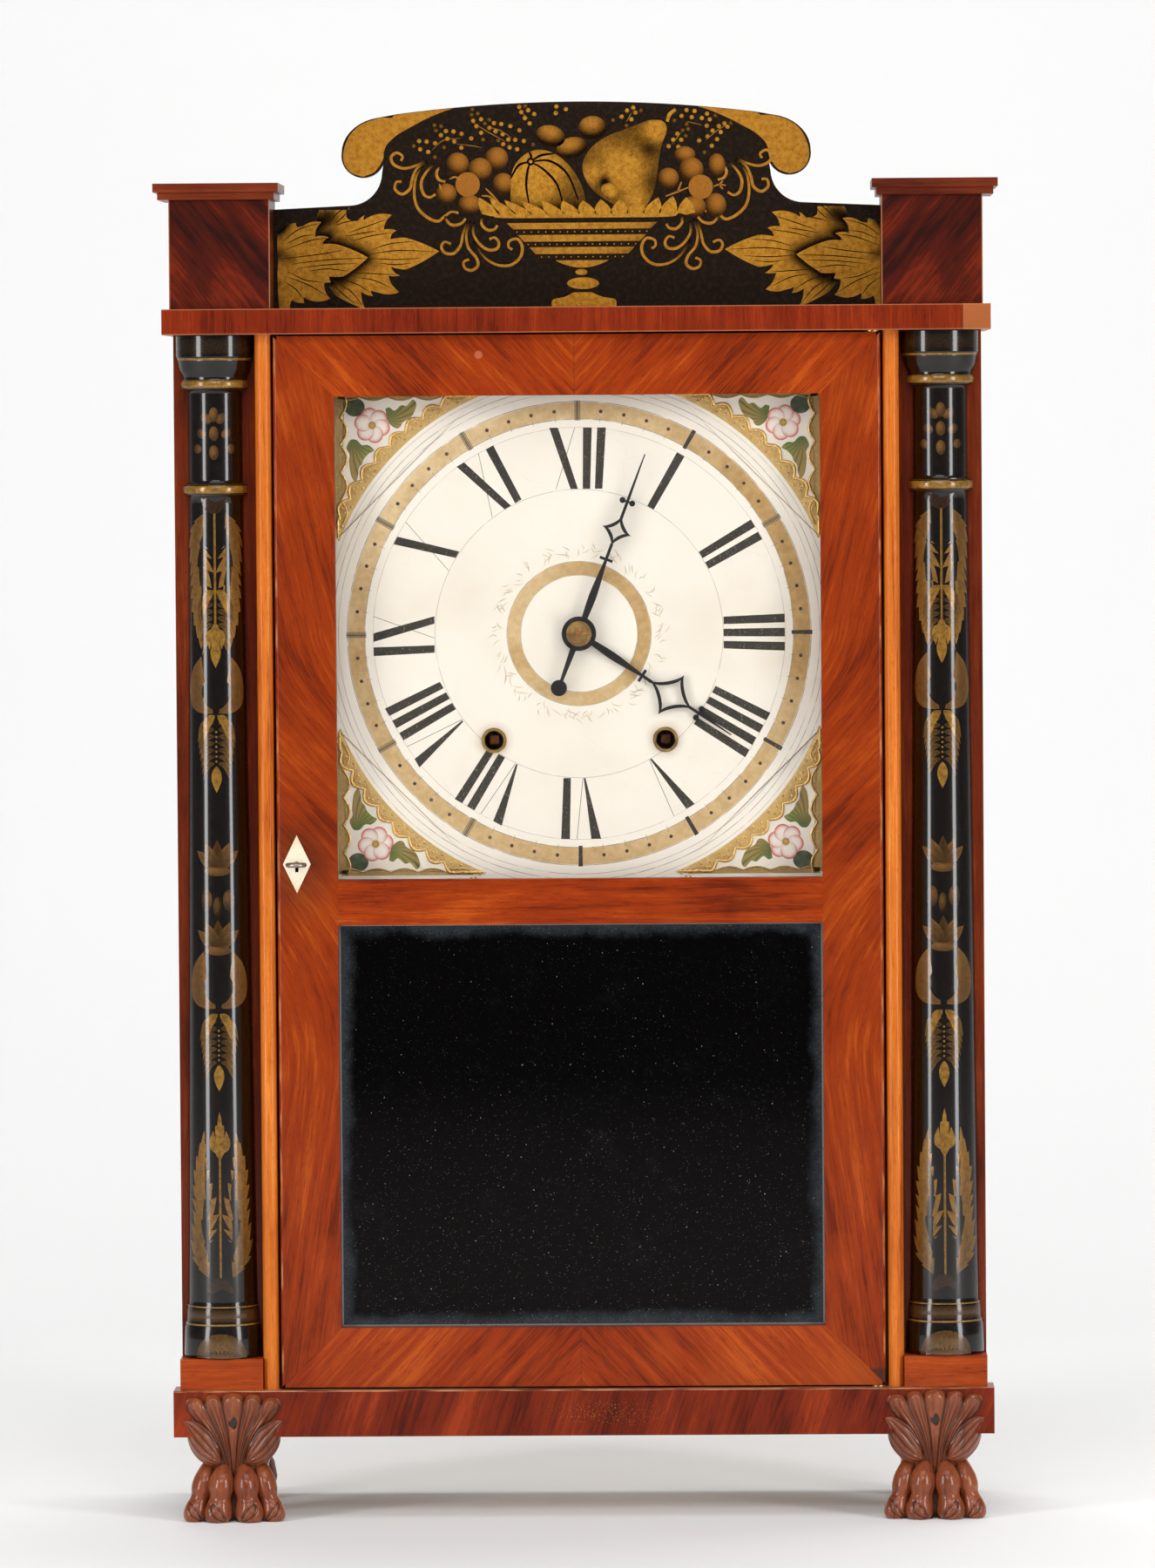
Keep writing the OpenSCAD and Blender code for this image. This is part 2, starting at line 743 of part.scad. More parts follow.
// Mitred top and bottom rails and the middle rail between the panes
module door_rails() {
  color(mahogany) difference() {
    front_plate_shape(y_door, y_door_back) {
      polygon([[-x_door, door_z1], [-x_open, glass_z1], [x_open, glass_z1], [x_door, door_z1]]);
      polygon([[-x_door, door_z0], [x_door, door_z0], [x_open, mirror_z0], [-x_open, mirror_z0]]);
      translate([-x_open, mirror_z1]) square([2 * x_open, mid_rail_h]);
    }
    pane_rabbets();
    both_sides() slab(x_door - edge_r, x_door + 1, y_door - 1, y_door_back + 1, door_z0 - 1, door_z1 + 1);
    pivot_bores();
  }
}

// Pane that fills a rabbet but for a little play at its edges
module pane(y0, t, z0, z1, play) {
  w = x_open + rabbet_w - play;
  slab(-w, w, y0, y0 + t, z0 - rabbet_w + play, z1 + rabbet_w - play);
}

module door_glass() {
  color("#dfe9e6", 0.25) pane(y_pane, glass_t, glass_z0, glass_z1, pane_play);
}

module door_mirror() {
  color("#20242a") pane(y_pane, mirror_t, mirror_z0, mirror_z1, pane_play);
}

module mirror_backboard() {
  color(pine) pane(y_pane + mirror_t, mirror_back_t, mirror_z0, mirror_z1, 0);
}

// Thin wooden beads that hold the clear glass in its rabbet
module glazing_beads() {
  w = x_open + rabbet_w;
  z0 = glass_z0 - rabbet_w;
  z1 = glass_z1 + rabbet_w;
  y0 = y_pane + glass_t;
  bead_w = 5;
  joint = 0.1;
  color(mahogany) {
    for (s = [-1, 1]) {
      x0 = min(s * w, s * (w - bead_w));
      slab(x0, x0 + bead_w, y0, y0 + bead_t, z0, z1);
    }
    slab(-w + bead_w + joint, w - bead_w - joint, y0, y0 + bead_t, z0, z0 + bead_w);
    slab(-w + bead_w + joint, w - bead_w - joint, y0, y0 + bead_t, z1 - bead_w, z1);
  }
}

// Bone diamond round the keyhole
module escutcheon() {
  color(bone) translate([lock_x, 0, lock_z]) front_plate_shape(y_door - escutcheon_t, y_door)
    difference() {
      polygon([[0, escutcheon_h / 2], [-escutcheon_w / 2, 0], [0, -escutcheon_h / 2],
        [escutcheon_w / 2, 0]]);
      keyhole();
    }
}

// Iron lock let into the back of the left stile, open on the edge for the bolt
module lock_case() {
  color(iron) difference() {
    slab(lock_x0, lock_x0 + lock_w, lock_front, y_door_back,
      lock_z - lock_h / 2, lock_z + lock_h / 2);
    slab(lock_x0 - 1, lock_x0 + lock_w - lock_wall, lock_front + lock_wall,
      y_door_back - lock_wall, lock_z - lock_h / 2 + lock_wall, bolt_z0 + bolt_w + bolt_play);
    translate([lock_x, 0, lock_z]) front_plate_shape(lock_front - 1, lock_front + lock_wall + 1) keyhole();
  }
}

module lock_bolt() {
  bolt_back = 0.5;
  color(brass) slab(-x_door + bolt_back, -x_door + bolt_back + bolt_len, bolt_y0, bolt_y1,
    bolt_z0, bolt_z0 + bolt_w);
}

// Key standing in the lock, its ring level
module key() {
  bit_t = 1.4;
  ring_y = y_toe + key_ring_r + key_wire + 0.2;
  color(iron) translate([lock_x, 0, lock_z]) union() {
    translate([0, y_door_back - lock_wall - 0.4, 0]) rotate([90, 0, 0])
      cylinder(r = key_r, h = y_door_back - lock_wall - 0.4 - ring_y - key_ring_r);
    slab(-bit_t / 2, bit_t / 2, bolt_y0, bolt_y1, -key_bit, 0);
    translate([0, ring_y, 0]) rotate_extrude() translate([key_ring_r, 0]) circle(key_wire, $fn = 32);
  }
}

// Wire pivots of the door, each through a brass washer
module door_pivots() {
  below = pivot_depth - 1;
  reach = below + door_gap + pivot_depth;
  color(brass) {
    for (z = [z_bay - below, z_cornice + below - reach])
      translate([pivot_x, pivot_y, z]) cylinder(r = pivot_r, h = reach);
    for (z = [z_bay, z_cornice - washer_t])
      translate([pivot_x, pivot_y, z]) difference() {
        cylinder(r = washer_r, h = washer_t);
        translate([0, 0, -1]) cylinder(r = pivot_r + pivot_play, h = washer_t + 2);
      }
  }
}

// Painted wooden dial on its shelf, bored for the hands and the winding key
module dial_board() {
  w = x_pil - dial_play;
  color(cream) difference() {
    slab(-w, w, y_dial, y_dial_back, dial_z0, dial_z1);
    rod_y(p_center, dial_hole_r, y_dial - 1, y_dial_back + 1);
    rod_y(p_time, bush_r - 0.6, y_dial - 1, y_dial_back + 1);
    rod_y(p_strike, bush_r - 0.6, y_dial - 1, y_dial_back + 1);
  }
}

// Brass rims of the winding holes
module winding_bushes() {
  color(brass) for (p = [p_time, p_strike]) difference() {
    union() {
      rod_y(p, bush_r, y_dial - bush_t, y_dial);
      rod_y(p, bush_r - 0.6, y_dial - eps, y_dial_back);
    }
    rod_y(p, bush_hole_r, y_dial - bush_t - 1, y_dial_back + 1);
  }
}

// Open diamond with hollowed sides, set along a hand between two radii
module hand_diamond(r0, r1, half_w, bar) {
  mid = (r0 + r1) / 2;
  half_l = (r1 - r0) / 2;
  function side(k, w, l) = [for (t = [0:0.125:1])
    [k[0] * w * pow(1 - t, 1.3), mid + k[1] * l * pow(t, 1.3)]];
  function ring(w, l) = concat(
    side([1, 1], w, l),
    [for (i = [7:-1:0]) side([-1, 1], w, l)[i]],
    [for (i = [1:8]) side([-1, -1], w, l)[i]],
    [for (i = [7:-1:1]) side([1, -1], w, l)[i]]);
  difference() {
    polygon(ring(half_w, half_l));
    polygon(ring(half_w - 2.6 * bar, half_l - 2.6 * bar));
  }
}

// Hand outline pointing up: hub, tapered stem, crossbar, diamond, ball pair and needle
module hand_outline(len, bar_r, diamond, ball_at, ball_gap) {
  root_w = 1.1;
  belly_w = 2.1;
  belly_at = 21;
  neck_w = 1.6;
  bar = 1.5;
  frame_w = 1.2;
  ball_r = 1.6;
  circle(hand_hub_r);
  polygon([[-root_w, 0], [root_w, 0], [belly_w * 0.93, belly_at * 0.76], [belly_w, belly_at],
    [belly_w * 0.9, belly_at * 1.24], [neck_w / 2, bar_r], [neck_w / 2, diamond[0] + 1],
    [-neck_w / 2, diamond[0] + 1], [-neck_w / 2, bar_r], [-belly_w * 0.9, belly_at * 1.24],
    [-belly_w, belly_at], [-belly_w * 0.93, belly_at * 0.76]]);
  translate([-3.6, bar_r]) square([7.2, bar]);
  hand_diamond(diamond[0], diamond[1], diamond[2], frame_w);
  for (s = [-1, 1]) translate([s * ball_gap, ball_at]) circle(ball_r, $fn = 32);
  translate([-ball_gap, ball_at - 0.5]) square([2 * ball_gap, 1]);
  polygon([[-0.8, diamond[1] - 2], [0.8, diamond[1] - 2], [0.75, ball_at + 3], [0.3, len],
    [-0.3, len], [-0.75, ball_at + 3]]);
}

module minute_hand() {
  tail_at = 30.6;
  tail_r = 4.3;
  color(blued) difference() {
    at_dial(p_center, y_minute_hand - hand_t, y_minute_hand, -minute_angle) {
      hand_outline(minute_len, 41.2, [49.8, 66.2, 8.0], 74.4, 2.7);
      polygon([[-2, 0], [-0.7, -tail_at], [0.7, -tail_at], [2, 0]]);
      translate([0, -tail_at]) circle(tail_r);
    }
    rod_y(p_center, tip_r, y_minute_hand - hand_t - 1, y_minute_hand + 1);
  }
}

module hour_hand() {
  color(blued) difference() {
    at_dial(p_center, y_hour_hand - hand_t, y_hour_hand, -hour_angle)
      hand_outline(hour_len, 39.5, [45.4, 71.8, 12.4], 76.2, 2.7);
    rod_y(p_center, 4.2, y_hour_hand - hand_t - 1, y_hour_hand + 1);
  }
}

// Brass washer and pin that hold the minute hand on its arbor
module hand_pin() {
  washer = 6.7;
  pin_half = 6;
  color(brass) {
    difference() {
      rod_y(p_center, washer, y_pin + pin_r, y_minute_hand - hand_t);
      rod_y(p_center, tip_r, y_pin - 1, y_minute_hand);
    }
    translate([-pin_half, y_pin, dial_z]) rotate([0, 90, 0]) cylinder(r = pin_r, h = 2 * pin_half);
  }
}

// Outline of both movement plates
module plate_outline() {
  translate([-plate_half_w, -plate_down]) square([2 * plate_half_w, plate_up + plate_down]);
}

// Bores of the arbors that pivot in a plate
module plate_bores(y0, y1) {
  for (p = [p_second, p_third, p_pin, p_warn, p_fly, p_escape, p_hammer])
    rod_y(p, arbor_r + run, y0, y1);
  rod_y(p_center, center_r + run, y0, y1);
  for (p = [p_time, p_strike]) rod_y(p, drum_arbor_r + run, y0, y1);
}

// Front plate with the posts of the motion wheel, the verge and the pendulum
module front_plate() {
  post_w = 9;
  post_h = 6;
  post_z = 5;
  slot_w = 2.2;
  post_y = y_plate_f - 11;
  color(oak) union() {
    difference() {
      at_dial([0, 0], y_plate_f, y_between) plate_outline();
      plate_bores(y_plate_f - 1, y_between + 1);
    }
    rod_y(p_motion, arbor_r, y_plate_f - 15, y_plate_f + eps);
    rod_y(p_verge, 1.5, y_plate_f - 6.6, y_plate_f + eps);
    difference() {
      at_dial(p_verge, post_y, y_plate_f + eps) translate([-post_w / 2, post_z]) square([post_w, post_h]);
      at_dial(p_verge, post_y - 1, y_plate_f - 3) translate([-slot_w / 2, post_z - 1]) square([slot_w, post_h + 2]);
    }
  }
}

module back_plate() {
  color(oak) difference() {
    at_dial([0, 0], y_plate_b, y_plate_b + plate_t) plate_outline();
    plate_bores(y_plate_b - 1, y_plate_b + plate_t + 1);
  }
}

module plate_pillars() {
  pillar_r = 5;
  color(oak) for (p = p_pillar) rod_y(p, pillar_r, y_between, y_plate_b);
}

// Arbor with a wheel and a pinion, the common form of the going and striking wheels
module wheel_on_arbor(p, y0, y1, wheel_at, leaf_at, m_leaf, turn) {
  rod_y(p, arbor_r, y0, y1);
  at_dial(p, wheel_at, wheel_at + wheel_t, turn) gear(n_wheel, m_wheel);
  at_dial(p, leaf_at - pinion_over, leaf_at + wheel_t + 2 * pinion_over, turn) gear(n_leaf, m_leaf);
}

y_piv_f = y_between - pivot_end;
y_piv_b = y_plate_b + pivot_end;

// Arbor of the minute hand with its driven wheel and the first motion pinion
module center_arbor() {
  color(cherry) difference() {
    union() {
      rod_y(p_center, center_r, y_minute_hand + 0.5, y_piv_b);
      rod_y(p_center, tip_r, y_pin - 1.6, y_minute_hand + 1);
      at_dial(p_center, pair_y, pair_y + pair_t, turn_center) gear(n_pair, m_pair);
      at_dial(p_center, y_plate_f - 6, y_plate_f - 2, turn_center) gear(n_motion_a, m_motion);
    }
    translate([-tip_r - 1, y_pin, dial_z]) rotate([0, 90, 0]) cylinder(r = pin_r, h = 2 * tip_r + 2);
  }
}

// Hour wheel on a pipe that carries the hour hand
module hour_wheel() {
  color(cherry) difference() {
    union() {
      at_dial(p_center, y_plate_f - 13, y_plate_f - 10, turn_hour) gear(n_motion_d, m_motion);
      rod_y(p_center, 4.2, y_hour_hand - hand_t, y_plate_f - 10);
    }
    rod_y(p_center, center_r + run, y_hour_hand - hand_t - 1, y_plate_f - 9);
  }
}

// Motion wheel and pinion, turning on the post of the front plate
module motion_wheel() {
  color(cherry) difference() {
    union() {
      at_dial(p_motion, y_plate_f - 5.5, y_plate_f - 2.5, turn_motion) gear(n_motion_b, m_motion);
      at_dial(p_motion, y_plate_f - 14, y_plate_f - 9, turn_motion) gear(n_motion_c, m_motion);
      rod_y(p_motion, 2.9, y_plate_f - 10, y_plate_f - 0.3);
    }
    rod_y(p_motion, arbor_r + run, y_plate_f - 16, y_plate_f + 1);
  }
}

ratchet_r = 15;
ratchet_t = 1.7;
// Great wheel that runs loose on the drum arbor and carries the winding click
module great_wheel(p, n, m, turn) {
  click = [5, 3];
  difference() {
    union() {
      at_dial(p, great_y, great_y + great_t, turn) gear(n, m);
      at_dial(p, great_y + great_t - eps, great_y + great_t + ratchet_t - 0.2)
        translate([ratchet_r + 0.5, -click[1] / 2]) square(click);
    }
    rod_y(p, drum_arbor_r + run, great_y - 1, great_y + great_t + 1);
  }
}

module time_great_wheel() {
  color(cherry) great_wheel(p_time, n_time, m_time, turn_time);
}

// Winding drum, its ratchet, its arbor and the square for the key
module winding_drum(p) {
  square_w = 4.6;
  teeth = 16;
  union() {
    rod_y(p, drum_arbor_r, y_plate_f - 2, y_piv_b);
    at_dial(p, y_plate_f - 16, y_plate_f - 2) translate([-square_w / 2, -square_w / 2]) square(square_w);
    at_dial(p, drum_y - ratchet_t, drum_y) polygon([
      for (i = [0:teeth - 1])
        for (s = [[ratchet_r - 2.5, 0.02], [ratchet_r, 0.9]]) polar(s[0], (i + s[1]) * 360 / teeth)
    ]);
    rod_y(p, barrel_r, drum_y, drum_y + drum_len);
    rod_y(p, barrel_r + flange_over, drum_y + drum_len, drum_y + drum_len + flange_t);
  }
}

module time_drum() {
  color(cherry) winding_drum(p_time);
}

// Arbor that turns once an hour: great pinion, centre pair and second wheel
module time_second_wheel() {
  color(cherry) union() {
    wheel_on_arbor(p_second, y_piv_f, y_piv_b, second_y, great_y + 0.5, m_time, turn_second);
    at_dial(p_second, pair_y, pair_y + pair_t, turn_second) gear(n_pair, m_pair);
  }
}

module time_third_wheel() {
  color(cherry) wheel_on_arbor(p_third, y_piv_f, y_piv_b, third_y, second_y, m_wheel, turn_third);
}

// Brass escape wheel in front of the plate, its pinion between the plates
module escape_wheel() {
  teeth = 42;
  tip = 19;
  root = 15.6;
  windows = 4;
  color(brass) union() {
    rod_y(p_escape, arbor_r, y_plate_f - 5.7, y_piv_b);
    at_dial(p_escape, third_y - pinion_over, third_y + wheel_t + pinion_over, turn_escape)
      gear(n_leaf, m_wheel);
    at_dial(p_escape, y_plate_f - 5.5, y_plate_f - 4) difference() {
      polygon([
        for (i = [0:teeth - 1])
          for (s = [[root, 0], [tip, 0.75], [tip, 0.9], [root, 0.95]])
            polar(s[0], (i + s[1]) * 360 / teeth)
      ]);
      for (i = [0:windows - 1]) translate(polar(9, i * 360 / windows)) circle(4.2);
    }
  }
}

// Bent strip with two pallets over the escape wheel, and the crutch that holds the rod
module verge() {
  arm = 14.6;
  pallet_drop = 10.2;
  strip = 1.4;
  hub = 3.5;
  crutch_len = 34;
  fork_gap = 1.3;
  fork_t = 1.2;
  color(brass) difference() {
    union() {
      at_dial(p_verge, y_plate_f - 5.5, y_plate_f - 3.5) {
        translate([-arm, -strip / 2]) square([2 * arm, strip]);
        for (s = [-1, 1]) translate([s * (arm - strip / 2) - strip / 2, -pallet_drop])
          square([strip, pallet_drop]);
        circle(hub);
      }
      rod_y(p_verge, hub, y_plate_f - 7, y_plate_f - 0.5);
      at_dial(p_verge, y_plate_f - 7, y_plate_f - 6)
        translate([-fork_gap - fork_t, -crutch_len]) square([2 * (fork_gap + fork_t), crutch_len]);
      for (s = [-1, 1])
        at_dial(p_verge, y_plate_f - 9.8, y_plate_f - 6 - eps)
          translate([s * (fork_gap + fork_t / 2) - fork_t / 2, -crutch_len]) square([fork_t, 4]);
    }
    rod_y(p_verge, 1.5 + run, y_plate_f - 8, y_plate_f + 1);
  }
}

// Pendulum: bead and spring over the post, rod, and bob
module pendulum() {
  rod_y0 = y_plate_f - 8.8;
  rod_y1 = y_plate_f - 7.2;
  rod_w = 2;
  spring_w = 0.5;
  bead = [3, 2];
  post_top = 11;
  bob_t = 8;
  rim = 2;
  y_mid = (rod_y0 + rod_y1) / 2;
  color(brass) union() {
    at_dial(p_verge, rod_y0, rod_y1) {
      translate([-bead[0], post_top + 0.3]) square([2 * bead[0], bead[1]]);
      translate([-spring_w / 2, -8]) square([spring_w, post_top + 8.4]);
      translate([-rod_w / 2, -pendulum_len]) square([rod_w, pendulum_len - 7.9]);
    }
    translate([p_verge[0], y_mid, dial_z + p_verge[1] - pendulum_len]) rotate([90, 0, 0])
      translate([0, 0, -bob_t / 2]) rotate_extrude() polygon([[0, 0], [bob_r - 6, 0.6],
        [bob_r, bob_t / 2 - rim / 2], [bob_r, bob_t / 2 + rim / 2], [bob_r - 6, bob_t - 0.6], [0, bob_t]]);
  }
}

// Strike great wheel with the count wheel fixed to its front, turning once in twelve hours
module strike_great_wheel() {
  count_r = 34;
  notch = [2.4, 4];
  count_t = 2;
  function blows(h) = h * (h + 1) / 2;
  color(cherry) union() {
    great_wheel(p_strike, n_strike, m_strike, 0);
    at_dial(p_strike, great_y - 1.5 - count_t, great_y + eps) difference() {
      circle(count_r);
      for (h = [0:11]) rotate(blows(h) * 360 / n_strike)
        translate([count_r - notch[1], -notch[0] / 2]) square([notch[1] + 1, notch[0]]);
      circle(drum_arbor_r + run);
    }
  }
}

module strike_drum() {
  color(cherry) winding_drum(p_strike);
}

// Pin wheel whose pins lift the hammer, one for each blow
module strike_pin_wheel() {
  color(cherry) union() {
    wheel_on_arbor(p_pin, y_piv_f, y_piv_b, second_y, great_y + 0.5, m_strike, turn_pin);
    for (i = [0:blow_pins - 1])
      rod_y(p_pin + polar(blow_circle, i * 360 / blow_pins), blow_pin_r,
        second_y + wheel_t - eps, second_y + wheel_t + blow_pin_len);
  }
}

module strike_warning_wheel() {
  color(cherry) wheel_on_arbor(p_warn, y_piv_f, y_piv_b, third_y, second_y, m_wheel, turn_warn);
}

// Two-vaned fly that steadies the strike
module strike_fly() {
  vane_r = 13;
  vane_t = 1.6;
  color(cherry) union() {
    rod_y(p_fly, arbor_r, y_piv_f, y_piv_b);
    at_dial(p_fly, third_y - pinion_over, third_y + wheel_t + pinion_over, turn_fly)
      gear(n_leaf, m_wheel);
    at_dial(p_fly, fly_y, fly_y + fly_len, turn_fly)
      translate([-vane_r, -vane_t / 2]) square([2 * vane_r, vane_t]);
  }
}

// Hammer: arbor, a wire arm up to the head and a tail down to the pins
module strike_hammer() {
  arm_y = second_y + wheel_t + 1;
  arm_t = 2;
  arm_w = 2.4;
  head_r = 5;
  head_len = 9;
  head_up = p_bell[1] - p_hammer[1];
  tail_down = 60;
  tail_x = 4.4;
  color(iron) union() {
    rod_y(p_hammer, arbor_r, y_piv_f, y_piv_b);
    at_dial(p_hammer, arm_y, arm_y + arm_t) {
      circle(3.6);
      translate([-arm_w / 2, 0]) square([arm_w, head_up]);
      polygon([[-arm_w / 2, 0], [tail_x - 0.7, -tail_down], [tail_x + 0.7, -tail_down], [arm_w / 2, 0]]);
    }
    rod_y(p_hammer + [0, head_up], head_r, arm_y - 1, arm_y - 1 + head_len);
  }
}

// Cast bell on an iron post that stands out from the backboard
module bell() {
  bell_d = 19;
  wall = 2;
  post_r = 2.5;
  hole_r = post_r + 0.1;
  crown = 5;
  nut_r = 4.5;
  nut_t = 2.4;
  seat = 0.05;
  mouth_y = y_inside - 18;
  k = bell_r / 26;
  color("#8c7a4a") translate([p_bell[0], mouth_y, dial_z + p_bell[1]]) rotate([90, 0, 0])
    rotate_extrude() polygon([
      [bell_r - wall, 0], [bell_r, 0], [bell_r - k, 4], [bell_r - 3 * k, 10], [bell_r - 8 * k, 15.5],
      [bell_r - 15 * k, bell_d], [hole_r, bell_d], [hole_r, bell_d - wall],
      [bell_r - 15.6 * k, bell_d - wall], [bell_r - 9.6 * k, 13.8], [bell_r - 5 * k, 9.4], [bell_r - 3 * k, 4]
    ]);
  color(iron) union() {
    rod_y(p_bell, post_r, mouth_y - bell_d - crown, y_inside);
    rod_y(p_bell, nut_r, mouth_y - bell_d - nut_t - seat, mouth_y - bell_d - seat);
    rod_y(p_bell, nut_r, mouth_y - bell_d + wall + seat, mouth_y - bell_d + wall + nut_t + seat);
    rod_y(p_bell, 8, y_inside - 2, y_inside);
  }
}

// Iron weight with a wire hook on top
module weight() {
  edge = 2;
  translate([weight_x, cord_y, 0]) {
    translate([0, 0, weight_z0]) rotate_extrude() polygon([[0, 0], [weight_r - edge, 0],
      [weight_r, edge], [weight_r, weight_len - edge], [weight_r - edge, weight_len], [0, weight_len]]);
    translate([0, 0, weight_top + hook_r - hook_wire]) rotate([90, 0, 0]) rotate_extrude()
      translate([hook_r - hook_wire, 0]) circle(hook_wire, $fn = 32);
  }
}

module time_weight() {
  color(iron) weight();
}

module strike_weight() {
  color(iron) mirror([1, 0, 0]) weight();
}

// Grooved pulley with its axle
module pulley() {
  groove_r = pulley_cord_r - cord_r - cord_seat;
  rim_r = pulley_cord_r + 1.4;
  translate([pulley_x, cord_y, dial_z + pulley_z]) rotate([90, 0, 0]) {
    rotate_extrude() polygon([[0, -pulley_w / 2], [rim_r, -pulley_w / 2], [rim_r, -pulley_w / 2 + 0.8],
      [groove_r, -1.4], [groove_r, 1.4], [rim_r, pulley_w / 2 - 0.8], [rim_r, pulley_w / 2],
      [0, pulley_w / 2]]);
    translate([0, 0, -pulley_axle_len / 2]) cylinder(r = pulley_axle_r, h = pulley_axle_len);
  }
}

module time_pulley() {
  color(cherry) pulley();
}

module strike_pulley() {
  color(cherry) mirror([1, 0, 0]) pulley();
}

// Middle line of the cord: round the drum, straight up, then over the pulley to the straight fall
cord_sides = 8;
cord_route = concat(
  [for (a = [cord_end_ang:-15:cord_ang + 1]) p_time + polar(drum_cord_r, a)],
  [p_time + polar(drum_cord_r, cord_ang)],
  [for (a = [cord_ang:-15:1]) p_pulley + polar(pulley_cord_r, a)],
  [p_pulley + [pulley_cord_r, 0]]
);

// Tube of cord_sides flat sides along a route in the dial plane
module cord_run() {
  last = len(cord_route) - 1;
  function along(i) =
    let (d = cord_route[min(i + 1, last)] - cord_route[max(i - 1, 0)])
    d / norm(d);
  points = [
    for (i = [0:last])
      for (k = [0:cord_sides - 1])
        let (u = along(i), c = polar(cord_r, k * 360 / cord_sides), p = cord_route[i])
        [p[0] - u[1] * c[0], cord_y + c[1], dial_z + p[1] + u[0] * c[0]]
  ];
  walls = [
    for (i = [0:last - 1])
      for (k = [0:cord_sides - 1])
        let (a = i * cord_sides + k, b = i * cord_sides + (k + 1) % cord_sides)
        for (f = [[a, b, b + cord_sides], [a, b + cord_sides, a + cord_sides]]) f
  ];
  start = [for (k = [cord_sides - 1:-1:0]) k];
  end = [for (k = [0:cord_sides - 1]) last * cord_sides + k];
  polyhedron(points = points, faces = concat(walls, [start, end]));
}

module winding_cords() {
  color("#d8cdb0") both_sides() cord_run();
}

// Straight fall of the cord from the pulley to the weight's hook
module cord_fall() {
  translate([weight_x, cord_y, cord_low])
    cylinder(r = cord_r, h = dial_z + pulley_z - cord_low, $fn = 24);
}

module time_weight_cord() {
  color("#d8cdb0") cord_fall();
}

module strike_weight_cord() {
  color("#d8cdb0") mirror([1, 0, 0]) cord_fall();
}

backboard();
side_boards();
bottom_board();
cornice_board();
base_rail();
pilaster_boards();
columns();
column_blocks();
door_strips();
plinths();
plinth_caps();
splat();
paw_feet();
rear_feet();
foot_screws();
channel_dividers();
movement_rails();
door_stiles();
door_rails();
door_glass();
door_mirror();
mirror_backboard();
glazing_beads();
escutcheon();
lock_case();
lock_bolt();
key();
door_pivots();
dial_board();
winding_bushes();
minute_hand();
hour_hand();
hand_pin();
front_plate();
back_plate();
plate_pillars();
center_arbor();
hour_wheel();
motion_wheel();
time_great_wheel();
time_drum();
time_second_wheel();
time_third_wheel();
escape_wheel();
verge();
pendulum();
strike_great_wheel();
strike_drum();
strike_pin_wheel();
strike_warning_wheel();
strike_fly();
strike_hammer();
bell();
time_weight();
strike_weight();
time_pulley();
strike_pulley();
winding_cords();
time_weight_cord();
strike_weight_cord();
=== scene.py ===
# %% [markdown]
# # A half-column shelf clock
# The case of this clock is pine under thin mahogany veneer. Black half columns and a
# black scrolled splat carry ornament in bronze powder, the dial is painted wood, and a
# carved paw stands under each front corner. The CAD model gives every piece its place,
# so this lesson only dresses it: it adds what a saw and a lathe can't give, such as
# carving, paint and grain. We start by loading the model.

import math

import bpy
import numpy as np
from mathutils import Matrix


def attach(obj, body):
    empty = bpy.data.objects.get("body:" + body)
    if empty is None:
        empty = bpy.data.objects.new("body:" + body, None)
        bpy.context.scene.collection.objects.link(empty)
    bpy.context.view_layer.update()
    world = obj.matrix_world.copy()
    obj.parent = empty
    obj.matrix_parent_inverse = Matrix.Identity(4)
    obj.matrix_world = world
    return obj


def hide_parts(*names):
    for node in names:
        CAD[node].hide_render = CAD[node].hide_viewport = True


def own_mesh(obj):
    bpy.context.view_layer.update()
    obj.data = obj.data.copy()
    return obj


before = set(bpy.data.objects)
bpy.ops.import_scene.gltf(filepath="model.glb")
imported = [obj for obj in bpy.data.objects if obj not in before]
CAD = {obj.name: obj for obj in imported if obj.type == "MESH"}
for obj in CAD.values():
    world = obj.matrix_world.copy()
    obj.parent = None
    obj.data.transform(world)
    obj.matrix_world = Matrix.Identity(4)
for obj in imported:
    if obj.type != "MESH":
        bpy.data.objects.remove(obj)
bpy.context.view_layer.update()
MM = 0.001

# %% [markdown]
# The camera stands where the photographer stood: about 4.5 m away with a long lens,
# a hand's width right of the middle and at the height of the dial, looking slightly
# down. A long lens keeps the sides of the case almost parallel. The lens is worked out
# from the photo's longer side, which is 1800 pixels.

# %% Camera
IMAGE_H = 1800
FOCAL_PX = 9800
EYE = (0.087, -4.555, 0.582)
PAN, TILT, ROLL = 1.12, 90 - 2.45, -0.42  # degrees; a tilt of 90 looks level
scene = bpy.context.scene
lens = bpy.data.cameras.new("camera")
lens.sensor_width = 36
lens.lens = FOCAL_PX / IMAGE_H * lens.sensor_width
lens.clip_end = 50
camera = bpy.data.objects.new("camera", lens)
scene.collection.objects.link(camera)
pan, tilt, roll = (Matrix.Rotation(math.radians(degrees), 4, axis)
                   for degrees, axis in ((PAN, "Z"), (TILT, "X"), (ROLL, "Z")))
camera.matrix_world = Matrix.Translation(EYE) @ pan @ tilt @ roll
scene.camera = camera
print("lens", round(lens.lens, 1), "mm")
